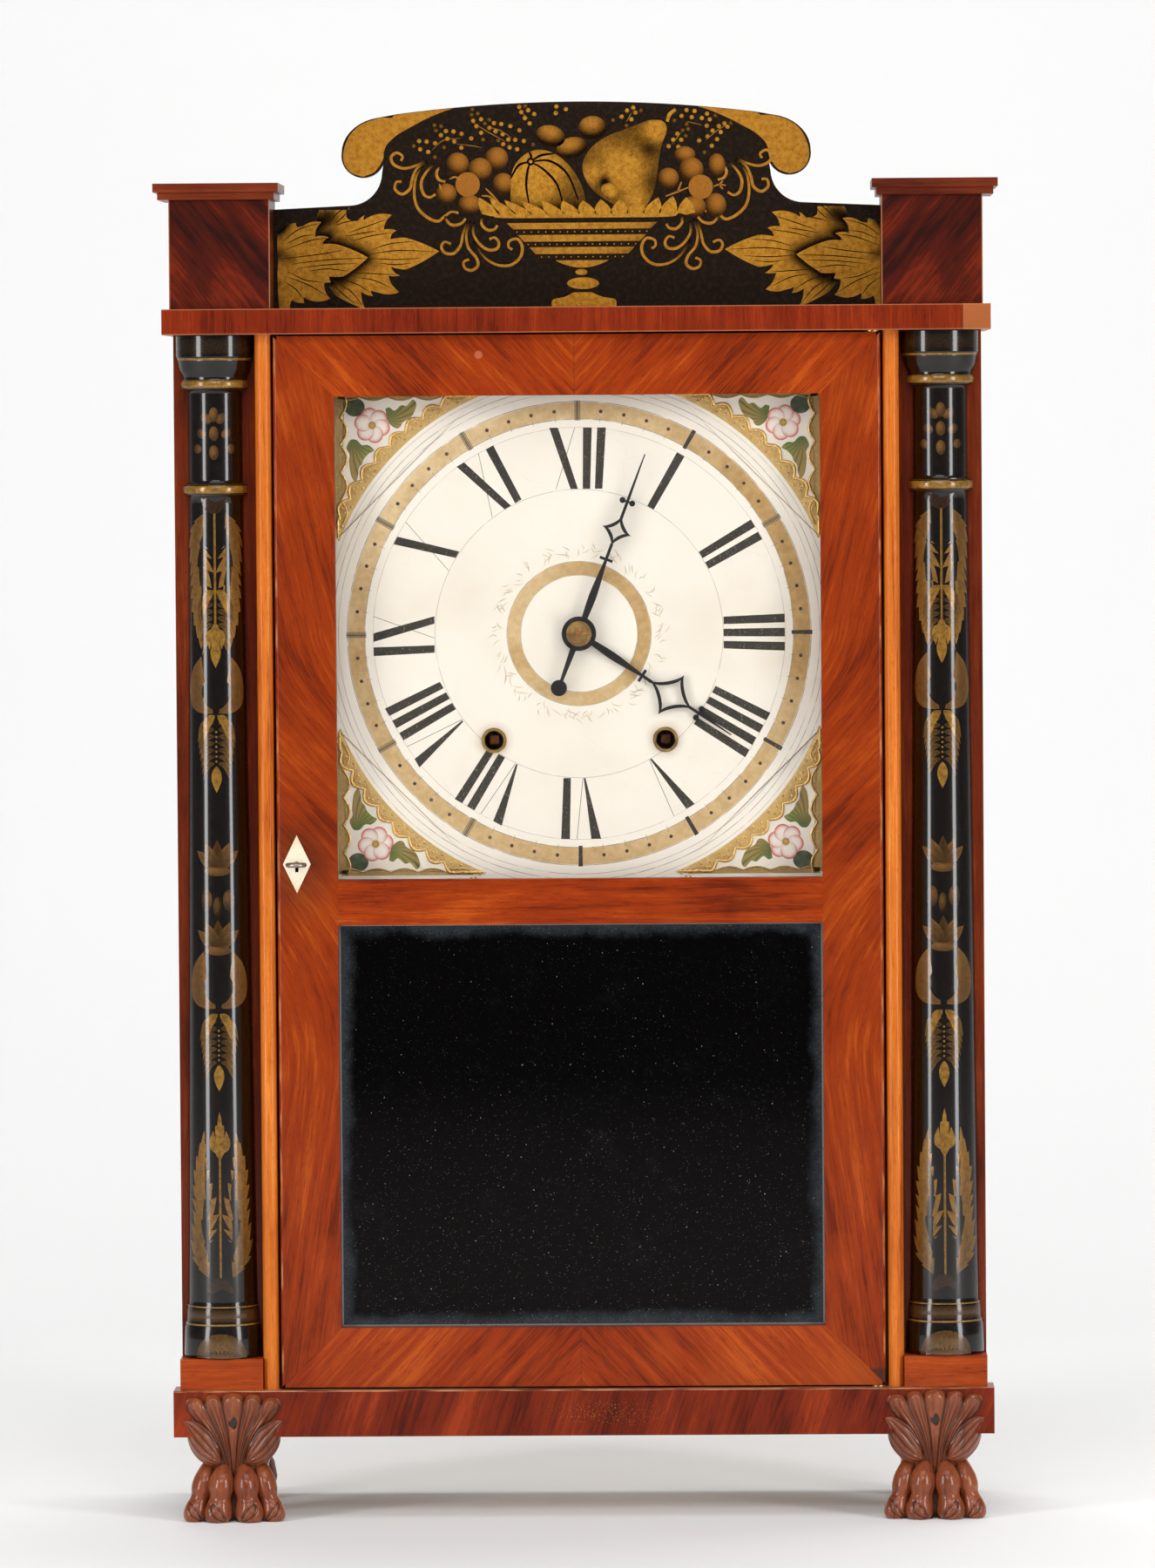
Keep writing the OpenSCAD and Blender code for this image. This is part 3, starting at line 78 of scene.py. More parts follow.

# %% [markdown]
# The light is plain: two tall soft boxes left and right, which draw the long
# highlights on the columns, and broad lamps above, before and behind the clock. The
# world is dim as a light and bright only where the camera sees it. The floor and the
# backdrop are one sheet bent up behind the clock, like studio paper, so no horizon
# shows.

# %% Studio
WORLD_LIGHT, WORLD_SEEN = 0.19, 0.76
LAMPS = [  # name, place and aim in metres, size, watts
    ("left_box", (-1.78, -1.61, 0.78), (0, 0, 0.5), (0.5, 1.6), 31),
    ("right_box", (1.78, -1.61, 0.78), (0, 0, 0.5), (0.5, 1.6), 31),
    ("top_box", (0.1, -1.3, 2.6), (0, 0, 0.3), (2.2, 1.2), 20.5),
    ("front_box", (0.0, -2.6, 1.9), (0, 0, 0.4), (1.6, 0.8), 19),
    ("rear_box", (0.3, 0.75, 2.5), (0, 0, 0.3), (2.0, 0.5), 24)]
scene.view_settings.view_transform = "Standard"
world = bpy.data.worlds.new("studio")
scene.world = world
world.use_nodes = True
tree = world.node_tree
background = tree.nodes["Background"]
background.inputs["Color"].default_value = (0.80, 0.83, 0.88, 1)
brightness = tree.nodes.new("ShaderNodeMath")
brightness.operation = "MULTIPLY_ADD"
brightness.inputs[1].default_value = WORLD_SEEN
brightness.inputs[2].default_value = WORLD_LIGHT
tree.links.new(tree.nodes.new("ShaderNodeLightPath").outputs["Is Camera Ray"], brightness.inputs[0])
tree.links.new(brightness.outputs[0], background.inputs["Strength"])
for name, place, aim, size, watts in LAMPS:
    data = bpy.data.lights.new(name, "AREA")
    data.shape = "RECTANGLE"
    data.size, data.size_y = size
    data.energy = watts
    lamp = bpy.data.objects.new(name, data)
    scene.collection.objects.link(lamp)
    lamp.location = place
    away = np.subtract(place, aim)
    lamp.rotation_euler = (
        math.atan2(math.hypot(away[0], away[1]), away[2]), 0, math.atan2(away[0], -away[1]))

# %% [markdown]
# Every finish below is arithmetic on coordinates: a stripe is a sine, a wear mark is
# a threshold on noise. Drawn as nodes such sums are hard to read, so one small class
# wraps a socket, and `a * b + 1` adds the Math nodes by itself. A second class opens
# a material and hands out coordinates, noise, mixes and bumps.

# %% Shader arithmetic


def plug(tree, socket, value):
    """Link a wrapped value, or set a plain number or colour."""
    if isinstance(value, Value):
        tree.links.new(value.socket, socket)
    elif isinstance(value, (tuple, list)):
        socket.default_value = tuple(value) + (1,) * (len(socket.default_value) - len(value))
    else:
        socket.default_value = value


class Value:
    """One output socket, with arithmetic."""

    def __init__(self, tree, socket):
        self.tree, self.socket = tree, socket

    def math(self, operation, *others):
        node = self.tree.nodes.new("ShaderNodeMath")
        node.operation = operation
        for socket, value in zip(node.inputs, (self,) + others):
            plug(self.tree, socket, value)
        return Value(self.tree, node.outputs[0])

    def flipped(self, operation, first):
        node = self.tree.nodes.new("ShaderNodeMath")
        node.operation = operation
        plug(self.tree, node.inputs[0], first)
        plug(self.tree, node.inputs[1], self)
        return Value(self.tree, node.outputs[0])

    def __add__(self, o): return self.math("ADD", o)
    def __radd__(self, o): return self.math("ADD", o)
    def __sub__(self, o): return self.math("SUBTRACT", o)
    def __rsub__(self, o): return self.flipped("SUBTRACT", o)
    def __mul__(self, o): return self.math("MULTIPLY", o)
    def __rmul__(self, o): return self.math("MULTIPLY", o)
    def __truediv__(self, o): return self.math("DIVIDE", o)
    def __pow__(self, o): return self.math("POWER", o)
    def __abs__(self): return self.math("ABSOLUTE")

    def step(self, low, high):
        """0 below low, 1 above high, a smooth rise between; low may be the higher one."""
        node = self.tree.nodes.new("ShaderNodeMapRange")
        node.interpolation_type = "SMOOTHSTEP"
        start = 0.0 if low < high else 1.0
        for key, value in (("Value", self), ("From Min", min(low, high)), ("From Max", max(low, high)),
                           ("To Min", start), ("To Max", 1.0 - start)):
            plug(self.tree, node.inputs[key], value)
        return Value(self.tree, node.outputs[0])

    def near(self, middle, width, soft):
        """1 within width of middle, fading to 0 over soft."""
        return abs(self - middle).step(width + soft, width)


class Finish:
    """A material and the sums that feed its shader."""

    def __init__(self, name, **settings):
        self.material = bpy.data.materials.new(name)
        self.material.use_nodes = True
        self.tree = self.material.node_tree
        self.shader = self.tree.nodes["Principled BSDF"]
        for key, value in settings.items():
            plug(self.tree, self.shader.inputs[key.replace("_", " ")], value)

    def node(self, kind, settings=(), out=0, **sockets):
        node = self.tree.nodes.new("ShaderNode" + kind)
        for key, value in dict(settings).items():
            setattr(node, key, value)
        for key, value in sockets.items():
            plug(self.tree, node.inputs[key.replace("_", " ")], value)
        return Value(self.tree, node.outputs[out])

    def first(self, colour):
        """The first channel of a colour."""
        return self.node("SeparateColor", out=0, Color=colour)

    def place(self):
        """The three Object coordinates in millimetres."""
        parts = self.tree.nodes.new("ShaderNodeSeparateXYZ")
        plug(self.tree, parts.inputs[0], self.node("TexCoord", out="Object"))
        return [Value(self.tree, parts.outputs[i]) * 1000.0 for i in range(3)]

    def vector(self, x, y, z):
        return self.node("CombineXYZ", X=x, Y=y, Z=z)

    def noise(self, vector, scale=1.0, detail=3.0, rough=0.55, warp=0.0):
        return self.node("TexNoise", out="Fac", Vector=vector, Scale=scale, Detail=detail,
                         Roughness=rough, Distortion=warp)

    def mix(self, a, b, factor):
        node = self.tree.nodes.new("ShaderNodeMix")
        node.data_type = "RGBA"
        plug(self.tree, node.inputs[0], factor)
        plug(self.tree, node.inputs[6], a)
        plug(self.tree, node.inputs[7], b)
        return Value(self.tree, node.outputs[2])

    def attribute(self, name):
        return self.node("Attribute", {"attribute_name": name}, out="Color")

    def bump(self, height, depth_mm, strength):
        """Raise the surface where height is 1, by about depth_mm."""
        self.set(Normal=self.node("Bump", Height=height, Distance=depth_mm * MM, Strength=strength))

    def set(self, **sockets):
        for key, value in sockets.items():
            plug(self.tree, self.shader.inputs[key.replace("_", " ")], value)
        return self


def dress(finish, *nodes):
    """Give CAD nodes a finish in every slot they have."""
    for name in nodes:
        CAD[name].data.materials.clear()
        CAD[name].data.materials.append(finish.material)


# %% [markdown]
# Mahogany veneer is what the eye meets first. A sheet of it shows four things at once:
# slow clouds of dark and light, ribbons a few millimetres wide that run with the grain,
# fine fibres, and short dark pores. All four are the same noise, stretched along the
# grain by different amounts. The maker laid the sheets so that the grain meets at the
# middle of each rail like the pages of a book, which is only an absolute value in the
# sum for the direction. Over the wood lies old shellac: glossy, a little uneven.

# %% Veneer


def grain(f, along, across, depth, size=1.0):
    """Cloud, ribbon, fibre and pore masks for wood whose grain runs along `along`."""
    k = 1.0 / size
    cloud = f.noise(f.vector(along * (0.010 * k), across * (0.028 * k), depth * 0.03), 1.0, 4.0, 0.6, 0.5)
    ribbon = f.noise(f.vector(along * (0.014 * k), across * (0.30 * k), depth * 0.3), 1.0, 3.0, 0.6, 0.3)
    fibre = f.noise(f.vector(along * (0.06 * k), across * (1.5 * k), depth * 1.5), 1.0, 2.0, 0.6)
    pore = f.noise(f.vector(along * (0.22 * k), across * (2.4 * k), depth * 2.4), 1.0, 2.0,
                   0.5).step(0.60, 0.72)
    return cloud, ribbon, fibre, pore


def wood(name, along_across, light, middle, dark, rough=0.40, coat=0.16, pores=0.55, size=1.0,
         clouds=1.0, extra=None):
    """Shellacked wood. along_across turns (x, y, z) in mm into (along, across, depth)."""
    f = Finish(name, Coat_Roughness=0.11, Specular_IOR_Level=0.09)
    x, y, z = f.place()
    along, across, depth = along_across(x, y, z)
    cloud, ribbon, fibre, pore = grain(f, along, across, depth, size)
    tone = (cloud - 0.5) * (1.5 * clouds) + (ribbon - 0.5) * 1.05 + (fibre - 0.5) * 0.75 + 0.5
    colour = f.mix(dark, middle, tone.step(0.05, 0.52))
    colour = f.mix(colour, light, tone.step(0.48, 0.98))
    colour = f.mix(colour, tuple(c * 0.42 for c in dark), pore * pores)
    if extra:
        colour = extra(f, x, y, z, colour)
    f.set(Base_Color=colour, Roughness=(fibre - 0.5) * 0.22 + pore * 0.15 + rough,
          Coat_Weight=(cloud - 0.5) * 0.35 + coat)
    f.bump((fibre - 0.5) * 0.5 - pore * 0.8, 0.05, 0.55)
    return f


MAHOGANY = dict(light=(0.415, 0.070, 0.004), middle=(0.245, 0.026, 0.0012), dark=(0.100, 0.009, 0.001))
SEAM = -1.2  # where the sheets of the door's rails meet
MIDDLE_RAIL = (327.5, 13.0, 0.5)  # its height, half width and a soft edge
KEYHOLE = (-149.5, 348.0)


def rail_grain(x, y, z):
    """Top rail V, bottom rail reversed V, middle rail straight, all matched at the middle."""
    half = abs(x - SEAM)
    upper = z.step(350.0, 352.0) * 2.0 - 1.0
    middle = z.near(*MIDDLE_RAIL)
    c, s = math.cos(math.radians(47)), math.sin(math.radians(47))
    across = (z * c - half * upper * s) * (1.0 - middle) + z * middle
    along = (z * upper * s + half * c) * (1.0 - middle) + x * middle
    return along + x.step(-1.3, -1.1) * 3.0, across, y


def rail_marks(f, x, y, z, colour):
    """A brighter sheet right of the middle seam, the seam itself, and one filled spot."""
    bright = f.noise(f.vector(x * 0.012, y * 0.01, z * 0.012), 1.0,
                     2.0).step(0.42, 0.75) * x.step(-3.0, 60.0)
    colour = f.mix(colour, (0.58, 0.130, 0.012), bright * 0.32)
    seam = x.near(SEAM, 0.12, 0.25) * (1.0 - z.near(*MIDDLE_RAIL))
    colour = f.mix(colour, (0.07, 0.016, 0.006), seam * 0.45)
    spot = ((x + 51.5) ** 2.0 + (z - 616.0) ** 2.0) ** 0.5
    return f.mix(colour, (0.46, 0.15, 0.075), spot.step(2.6, 1.6) * 0.55)


def stile_grain(x, y, z):
    """Steep grain that leans in towards the middle, opposite ways above and below."""
    half = abs(x)
    lean = (z - 349.0).step(-120.0, 120.0) * 0.9 - 0.35
    return z + half * lean * 0.6, half - z * lean * 0.42, y


DOOR_FRONT = -56.0


def stile_marks(f, x, y, z, colour):
    """Darker wood, a pale worn outer edge that also paints the edge's highlight, a chip at the lower right
    corner and grime by the lock.
    """
    colour = f.mix(colour, (0.13, 0.017, 0.001), 0.20)
    patchy = f.noise(f.vector(x * 0.2, y * 0.2, z * 0.05), 1.0, 3.0).step(0.45, 0.65)
    # a pale line along the outer front edge, in patches: wear, and the edge's painted highlight
    edge = abs(x).near(159.4, 0.35, 0.5) * patchy * y.step(DOOR_FRONT + 1.2, DOOR_FRONT + 0.6)
    colour = f.mix(colour, (0.62, 0.27, 0.10), edge * 0.6)
    touch = ((x - KEYHOLE[0]) ** 2.0 * 1.6 + (z - 345.0) ** 2.0) ** 0.5
    colour = f.mix(colour, (0.035, 0.012, 0.006), x.step(151.4, 152.2) * z.step(80.5, 78.0) * 0.8)
    return f.mix(colour, (0.05, 0.014, 0.006), touch.step(34.0, 8.0) * 0.45)


dress(wood("rail_veneer", rail_grain, extra=rail_marks, **MAHOGANY), "door_rails")
dress(wood("stile_veneer", stile_grain, extra=stile_marks, **MAHOGANY), "door_stiles", "glazing_beads")
print("door dressed")

# %% [markdown]
# The rest of the case is cut from other sheets. The cornice has its grain standing
# upright and a patch let in at its right end, the base rail is darker with a pale line
# on its upper edge, worn and painted as the edge's highlight, and the narrow strips beside
# the door are a plain bright wood that is almost orange. The inside, the back and the
# underside never saw polish: dry pine, grey-brown with age, with knots and darker late wood.

# %% Case woods


PATCH = (203.0, 203.4)  # where the piece let in at the cornice's right end begins


def cornice_grain(x, y, z):
    patch = x.step(*PATCH)
    return (z + y) * (1.0 - patch) + x * patch, x * (1.0 - patch) + z * patch, y * 0.5


def cornice_marks(f, x, y, z, colour):
    colour = f.mix(colour, (0.46, 0.16, 0.05), x.step(*PATCH) * 0.5)
    seam = x.near(203.2, 0.15, 0.2)
    colour = f.mix(colour, (0.04, 0.012, 0.006), seam * 0.8)
    # pale lines along the lower and upper front edges: wear, and the edges' painted highlights
    worn_edge_highlights = z.near(627.6, 0.25, 0.35) + z.near(640.9, 0.25, 0.35)
    return f.mix(colour, (0.50, 0.22, 0.10), worn_edge_highlights * 0.35)


def rail_edge(f, x, y, z, colour):
    """A pale upper edge, worn and painted as the edge's highlight, and specks of old bronze powder right of
    the middle.
    """
    # the pale line on the upper edge: wear, and the edge's painted highlight
    worn = z.near(69.4, 0.3, 0.5) * f.noise(f.vector(x * 0.05, y, z), 1.0, 4.0).step(0.38, 0.62)
    colour = f.mix(colour, (0.58, 0.30, 0.15), worn * 0.75)
    gold = ((x - 12.0) ** 2.0 * 0.05 + (z - 57.0) ** 2.0) ** 0.5
    rub = gold.step(10.0, 2.0) * f.noise(f.vector(x * 1.3, y, z * 1.1), 1.0, 2.0).step(0.60, 0.68)
    return f.mix(colour, (0.58, 0.26, 0.06), rub * 0.55)


def plinth_marks(f, x, y, z, colour):
    """Light lines down the front corners of each plinth: wear, and the corners' painted highlights."""
    half = abs(x)
    # pale lines on the front corners: wear, and the corners' painted highlights
    edges = (half.near(160.9, 0.25, 0.35) + half.near(213.9, 0.25, 0.35)) * y.step(-58.0, -60.0)
    return f.mix(colour, (0.46, 0.20, 0.10), edges * 0.55)


dress(wood("cornice_veneer", cornice_grain, light=(0.260, 0.027, 0.003), middle=(0.160, 0.0140, 0.0015),
           dark=(0.065, 0.005, 0.001), extra=cornice_marks), "cornice_board")
dress(wood("base_veneer", lambda x, y, z: (x * 0.35 + z * 0.9, x * 0.9 - z * 0.3, y),
           light=(0.265, 0.028, 0.002), middle=(0.145, 0.0125, 0.001), dark=(0.055, 0.004, 0.001),
           clouds=1.2, extra=rail_edge), "base_rail")
dress(wood("plinth_veneer", lambda x, y, z: (z * 0.75 + abs(x) * 0.6, abs(x) * 0.75 - z * 0.6, y),
           light=(0.140, 0.0130, 0.002), middle=(0.052, 0.0048, 0.0012), dark=(0.016, 0.0022, 0.001),
           clouds=1.7, extra=plinth_marks), "plinths")
dress(wood("cap_veneer", lambda x, y, z: (x, z * 1.4, y), light=(0.205, 0.034, 0.008),
           middle=(0.121, 0.018, 0.0045), dark=(0.056, 0.007, 0.003)), "plinth_caps")
dress(wood("side_veneer", lambda x, y, z: (z, y + x * 0.3, x), light=(0.240, 0.036, 0.005),
           middle=(0.132, 0.016, 0.002), dark=(0.060, 0.007, 0.001)), "side_boards", "pilaster_boards")
dress(wood("strip_wood", lambda x, y, z: (z, x * 1.2, y), light=(0.70, 0.215, 0.030),
           middle=(0.52, 0.125, 0.011), dark=(0.26, 0.036, 0.003), clouds=0.6), "door_strips")
dress(wood("block_wood", lambda x, y, z: (x, z, y), light=(0.450, 0.080, 0.006),
           middle=(0.290, 0.038, 0.002), dark=(0.13, 0.014, 0.001), clouds=0.7), "column_blocks")


def pine(name, along_across):
    """Bare softwood, aged, without gloss. Its late wood shows as arches, since a flat board cuts the
    rings sqrt(across^2 + (heart + slope * along)^2) of a tapering trunk."""
    f = Finish(name)
    x, y, z = f.place()
    along, across, depth = along_across(x, y, z)
    warp = f.noise(f.vector(along * 0.004, across * 0.007, depth * 0.01), 1.0, 3.0) * 55.0
    trunk = ((across * 0.9) ** 2.0 + (warp + along * 0.13 + 45.0) ** 2.0) ** 0.5
    rings = (trunk * 0.80).math("SINE") * 0.5 + 0.5
    cloud, ribbon, fibre, pore = grain(f, along, across, depth, 1.4)
    colour = f.mix((0.40, 0.235, 0.110), (0.255, 0.130, 0.055), rings.step(0.45, 1.0) * 0.50)
    colour = f.mix(colour, (0.16, 0.085, 0.042), cloud.step(0.45, 0.80) * 0.55)
    colour = f.mix(colour, (0.55, 0.36, 0.19), (fibre - 0.5).step(0.0, 0.4) * 0.4)
    f.set(Base_Color=colour, Roughness=(ribbon - 0.5) * 0.2 + 0.72)
    f.bump(rings * 0.4 + fibre, 0.12, 0.6)
    return f


dress(pine("back_pine", lambda x, y, z: (z, x, y)), "backboard", "channel_dividers")
dress(pine("inner_pine", lambda x, y, z: (x, z + y, y)), "bottom_board", "movement_rails",
      "mirror_backboard")
print("case dressed")

# %% [markdown]
# The clockwork is wood too: oak plates and pillars, cherry wheels and drums. Cherry is
# close and even, so its grain is small. The metals are old: brass gone brown with light
# only where it is rubbed, iron with a thin skin of rust, and a cast-iron weight that
# came rough from its sand mould.

# %% Movement woods and metals
dress(wood("oak_plate", lambda x, y, z: (x, z, y), light=(0.40, 0.235, 0.105), middle=(0.27, 0.145, 0.058),
           dark=(0.145, 0.070, 0.026), rough=0.6, coat=0.0, pores=0.9), "front_plate", "back_plate")
dress(wood("oak_turned", lambda x, y, z: (y, x + z, z), light=(0.40, 0.235, 0.105),
           middle=(0.28, 0.150, 0.06), dark=(0.15, 0.072, 0.027), rough=0.55, coat=0.0, pores=0.8),
      "plate_pillars")
CHERRY = dict(light=(0.42, 0.200, 0.080), middle=(0.29, 0.115, 0.042), dark=(0.16, 0.055, 0.020),
              rough=0.5, coat=0.05, pores=0.25, size=0.6)
dress(wood("cherry_wheel", lambda x, y, z: (x * 0.9 + z * 0.4, z * 0.9 - x * 0.4, y), **CHERRY),
      "hour_wheel", "motion_wheel", "time_great_wheel", "time_second_wheel",
      "time_third_wheel", "strike_great_wheel", "strike_pin_wheel", "strike_warning_wheel", "strike_fly",
      "center_arbor", "time_pulley", "strike_pulley")
dress(wood("cherry_drum", lambda x, y, z: (y, x - z, z), **CHERRY), "time_drum", "strike_drum")


def metal(name, clean, dull, rough, dull_rough, scale=0.06, share=0.5, bump=0.05, grit=0.7):
    """Metal that is clean in places and dull in others, finely pitted."""
    f = Finish(name)
    x, y, z = f.place()
    patch = f.noise(f.vector(x, y, z), scale, 5.0, 0.65).step(share - 0.12, share + 0.14)
    pits = f.noise(f.vector(x, y, z), grit, 4.0, 0.7)
    f.set(Base_Color=f.mix(clean, dull, patch), Metallic=1.0 - patch * 0.55,
          Roughness=patch * (dull_rough - rough) + rough + (pits - 0.5) * 0.15)
    f.bump(pits, bump, 0.6)
    return f


brass = metal("old_brass", (0.58, 0.37, 0.12), (0.19, 0.105, 0.035), 0.28, 0.55)
dress(brass, "winding_bushes", "hand_pin", "door_pivots", "escape_wheel", "verge", "lock_bolt")
dress(metal("bob_brass", (0.66, 0.44, 0.15), (0.30, 0.17, 0.06), 0.24, 0.45, scale=0.045), "pendulum")
dress(metal("bell_bronze", (0.36, 0.27, 0.13), (0.15, 0.115, 0.06), 0.30, 0.55, scale=0.08), "bell")
dress(metal("lock_iron", (0.22, 0.19, 0.17), (0.10, 0.045, 0.02), 0.42, 0.75, scale=0.1), "lock_case",
      "strike_hammer")
dress(metal("screw_iron", (0.060, 0.050, 0.045), (0.035, 0.020, 0.012), 0.45, 0.8, scale=0.2),
      "foot_screws")
dress(metal("key_steel", (0.34, 0.29, 0.24), (0.13, 0.075, 0.04), 0.34, 0.6, scale=0.25, share=0.55), "key")
dress(metal("weight_iron", (0.12, 0.11, 0.105), (0.075, 0.045, 0.03), 0.5, 0.85, scale=0.05, share=0.45,
            bump=0.45, grit=0.35), "time_weight", "strike_weight")

# %% [markdown]
# The hands are black-painted steel, worn to bare metal in tiny specks. The keyhole
# plate is bone: ivory white, yellowed towards its points, with fine grey pores.

# %% Hands and keyhole plate
hands = Finish("hand_black", Coat_Roughness=0.2)
x, y, z = hands.place()
chips = hands.noise(hands.vector(x, y, z), 1.1, 3.0).step(0.68, 0.74)
hands.set(Base_Color=hands.mix((0.012, 0.010, 0.010), (0.16, 0.13, 0.11), chips * 0.7),
          Metallic=chips * 0.7, Roughness=chips * 0.2 + 0.34, Coat_Weight=0.2)
dress(hands, "minute_hand", "hour_hand")

bone = Finish("keyhole_bone", Coat_Roughness=0.2)
x, y, z = bone.place()
reach = abs(z - KEYHOLE[1])
pores = bone.noise(bone.vector(x * 2.0, y, z * 0.5), 1.0, 3.0).step(0.55, 0.72)
colour = bone.mix((0.78, 0.70, 0.53), (0.62, 0.46, 0.24), reach.step(5.0, 15.0) * 0.7)
bone.set(Base_Color=bone.mix(colour, (0.30, 0.24, 0.17), pores * 0.4), Roughness=pores * 0.2 + 0.33,
         Coat_Weight=0.3)
dress(bone, "escutcheon")

# %% [markdown]
# Old window glass is almost clear with a green cast, and slightly wavy. The mirror
# below it is painted near black with little metal, a painted dark reflection. It is full
# of pinholes that catch the light, and hazy in a band along its edges where damp crept
# in. A thin pale line runs right along the rebate, where the plate's edge shows.

# %% Glass and mirror
glass = Finish("old_glass", Base_Color=(1.0, 0.995, 0.985), Transmission_Weight=1.0, IOR=1.15)
x, y, z = glass.place()
glass.set(Roughness=glass.noise(glass.vector(x, y, z), 0.02, 2.0).step(0.3, 1.0) * 0.03)
dress(glass, "door_glass")

mirror = Finish("old_mirror", Specular_IOR_Level=0.15)
x, y, z = mirror.place()
MIRROR_HALF_W, MIRROR_HALF_H, MIRROR_Z = 128.0, 106.75, 208.75
to_side = MIRROR_HALF_W - abs(x)
to_end = MIRROR_HALF_H - abs(z - MIRROR_Z)
to_edge = to_side.math("MINIMUM", to_end)
cloud = mirror.noise(mirror.vector(x, y, z), 0.035, 5.0, 0.7)
fine = mirror.noise(mirror.vector(x, y, z), 0.9, 3.0, 0.6)
specks = mirror.noise(mirror.vector(x, y, z), 0.75, 1.0, 0.5).step(0.735, 0.775)
tiny = mirror.noise(mirror.vector(x + 40.0, y, z), 1.7, 1.0, 0.5).step(0.735, 0.77)
haze = (to_edge + (cloud - 0.5) * 16.0).step(9.0, 0.0) * (fine * 0.9 + 0.3)
line = to_edge.near(0.5, 0.25, 0.35)
# near black with little metal: a painted dark reflection, hazier along the edges
colour = mirror.mix((0.0055, 0.0045, 0.0045), (0.060, 0.072, 0.082), haze * 0.8)
colour = mirror.mix(colour, (0.018, 0.017, 0.017), cloud.step(0.55, 0.8) * 0.5)
colour = mirror.mix(colour, (0.38, 0.40, 0.42), specks * 0.75)
colour = mirror.mix(colour, (0.30, 0.31, 0.32), tiny * 0.6)
colour = mirror.mix(colour, (0.34, 0.36, 0.38), line * 0.6)
mirror.set(Base_Color=colour, Metallic=0.8 - haze * 0.4, Roughness=haze * 0.35 + specks * 0.3 + 0.07)
dress(mirror, "door_mirror")
print("metals, glass and mirror dressed")

# %% [markdown]
# New pieces are grids of points worked out with numpy. One helper closes a grid into
# a mesh: it can join the last column to the first, so rings become a tube, and cap both
# ends with a fan. Several grids may share one mesh, which is how a carved foot or a
# whole painted ornament stays one piece. A number can be stored at each point, and a
# finish reads it later as paint thickness or colour.

# %% Grid meshes


class Surface:
    """Collects grids of points and builds one mesh from them."""

    def __init__(self):
        self.points, self.faces, self.tones, self.count = [], [], [], 0

    def add(self, grid, tone=1.0, round_v=False, caps=False, flip=False, front=False):
        """grid has shape (rows, columns, 3) in millimetres; tone is a number, colour or grid. With
        front, the patch is turned over if it would face the back."""
        if front:
            down, across = np.diff(grid, axis=0)[:, :-1], np.diff(grid, axis=1)[:-1]
            flip = bool((across[..., 2] * down[..., 0] - across[..., 0] * down[..., 2]).sum() > 0)
        rows, columns = grid.shape[:2]
        index = np.arange(rows * columns).reshape(rows, columns)
        a = np.hstack([index, index[:, :1]]) if round_v else index
        quads = np.stack([a[:-1, :-1], a[:-1, 1:], a[1:, 1:], a[1:, :-1]], -1).reshape(-1, 4)
        if flip:
            quads = quads[:, ::-1]
        points = grid.reshape(-1, 3)
        tone = np.asarray(tone, float)
        tone = np.broadcast_to(tone[..., None] if tone.ndim in (0, 2) else tone,
                               (rows, columns, 3 if tone.ndim in (1, 3) else 1))
        tones = np.zeros((rows * columns, 3))
        tones[:, :tone.shape[2]] = tone.reshape(rows * columns, -1)
        self.faces += (quads + self.count).tolist()
        self.points.append(points)
        self.tones.append(tones)
        self.count += len(points)
        if caps:
            for row, turn in ((index[0], 1), (index[-1], -1)):
                centre = grid.reshape(-1, 3)[row].mean(0)
                ring = row + self.count - len(points)
                self.points.append(centre[None])
                self.tones.append(tones[row[:1]])
                nxt = np.roll(ring, -1)
                fan = np.stack([ring, nxt, np.full_like(ring, self.count)], -1)
                if (turn < 0) != flip:
                    fan = fan[:, ::-1]
                self.faces += fan[:, ::-1].tolist()
                self.count += 1
        return self

    def build(self, name, finish, body, replaces=(), slot=None):
        mesh = bpy.data.meshes.new(name)
        mesh.from_pydata((np.vstack(self.points) * MM).tolist(), [], self.faces)
        mesh.polygons.foreach_set("use_smooth", [True] * len(mesh.polygons))
        tone = mesh.attributes.new("tone", "FLOAT_COLOR", "POINT")
        tone.data.foreach_set("color", np.hstack([np.vstack(self.tones), np.ones((self.count, 1))]).ravel())
        mesh.materials.append(finish.material)
        piece = bpy.data.objects.new(name, mesh)
        scene.collection.objects.link(piece)
        if body:
            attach(piece, body)
        if replaces:
            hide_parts(*replaces)
        print(name, len(mesh.polygons), "faces")
        return piece


def spline(points, count):
    """A smooth line through points: each stretch is a cubic with the chords as slopes."""
    p = np.array(points, float)
    s = np.linspace(0, len(p) - 1, count)
    i = np.minimum(s.astype(int), len(p) - 2)
    t = (s - i)[:, None]
    slope = np.gradient(p, axis=0)
    a, b, da, db = p[i], p[i + 1], slope[i], slope[i + 1]
    return ((2 * t**3 - 3 * t**2 + 1) * a + (t**3 - 2 * t**2 + t) * da
            + (3 * t**2 - 2 * t**3) * b + (t**3 - t**2) * db)


def heading(line):
    """Unit steps along a line of points."""
    d = np.gradient(line, axis=0)
    return d / np.maximum(np.linalg.norm(d, axis=1), 1e-9)[:, None]


def flat_heading(line):
    """Unit steps along a flat line, and the unit steps to their left."""
    d = heading(line)
    return d, np.stack([-d[:, 1], d[:, 0]], -1)


def swept(line, radius, one, other, angle):
    """Rings of points round a line; angle 0 points along `one` and a quarter turn along `other`."""
    c, s = np.cos(angle)[..., None], np.sin(angle)[..., None]
    other = np.broadcast_to(other, line.shape)
    return line[:, None] + radius[..., None] * (one[:, None] * c + other[:, None] * s)


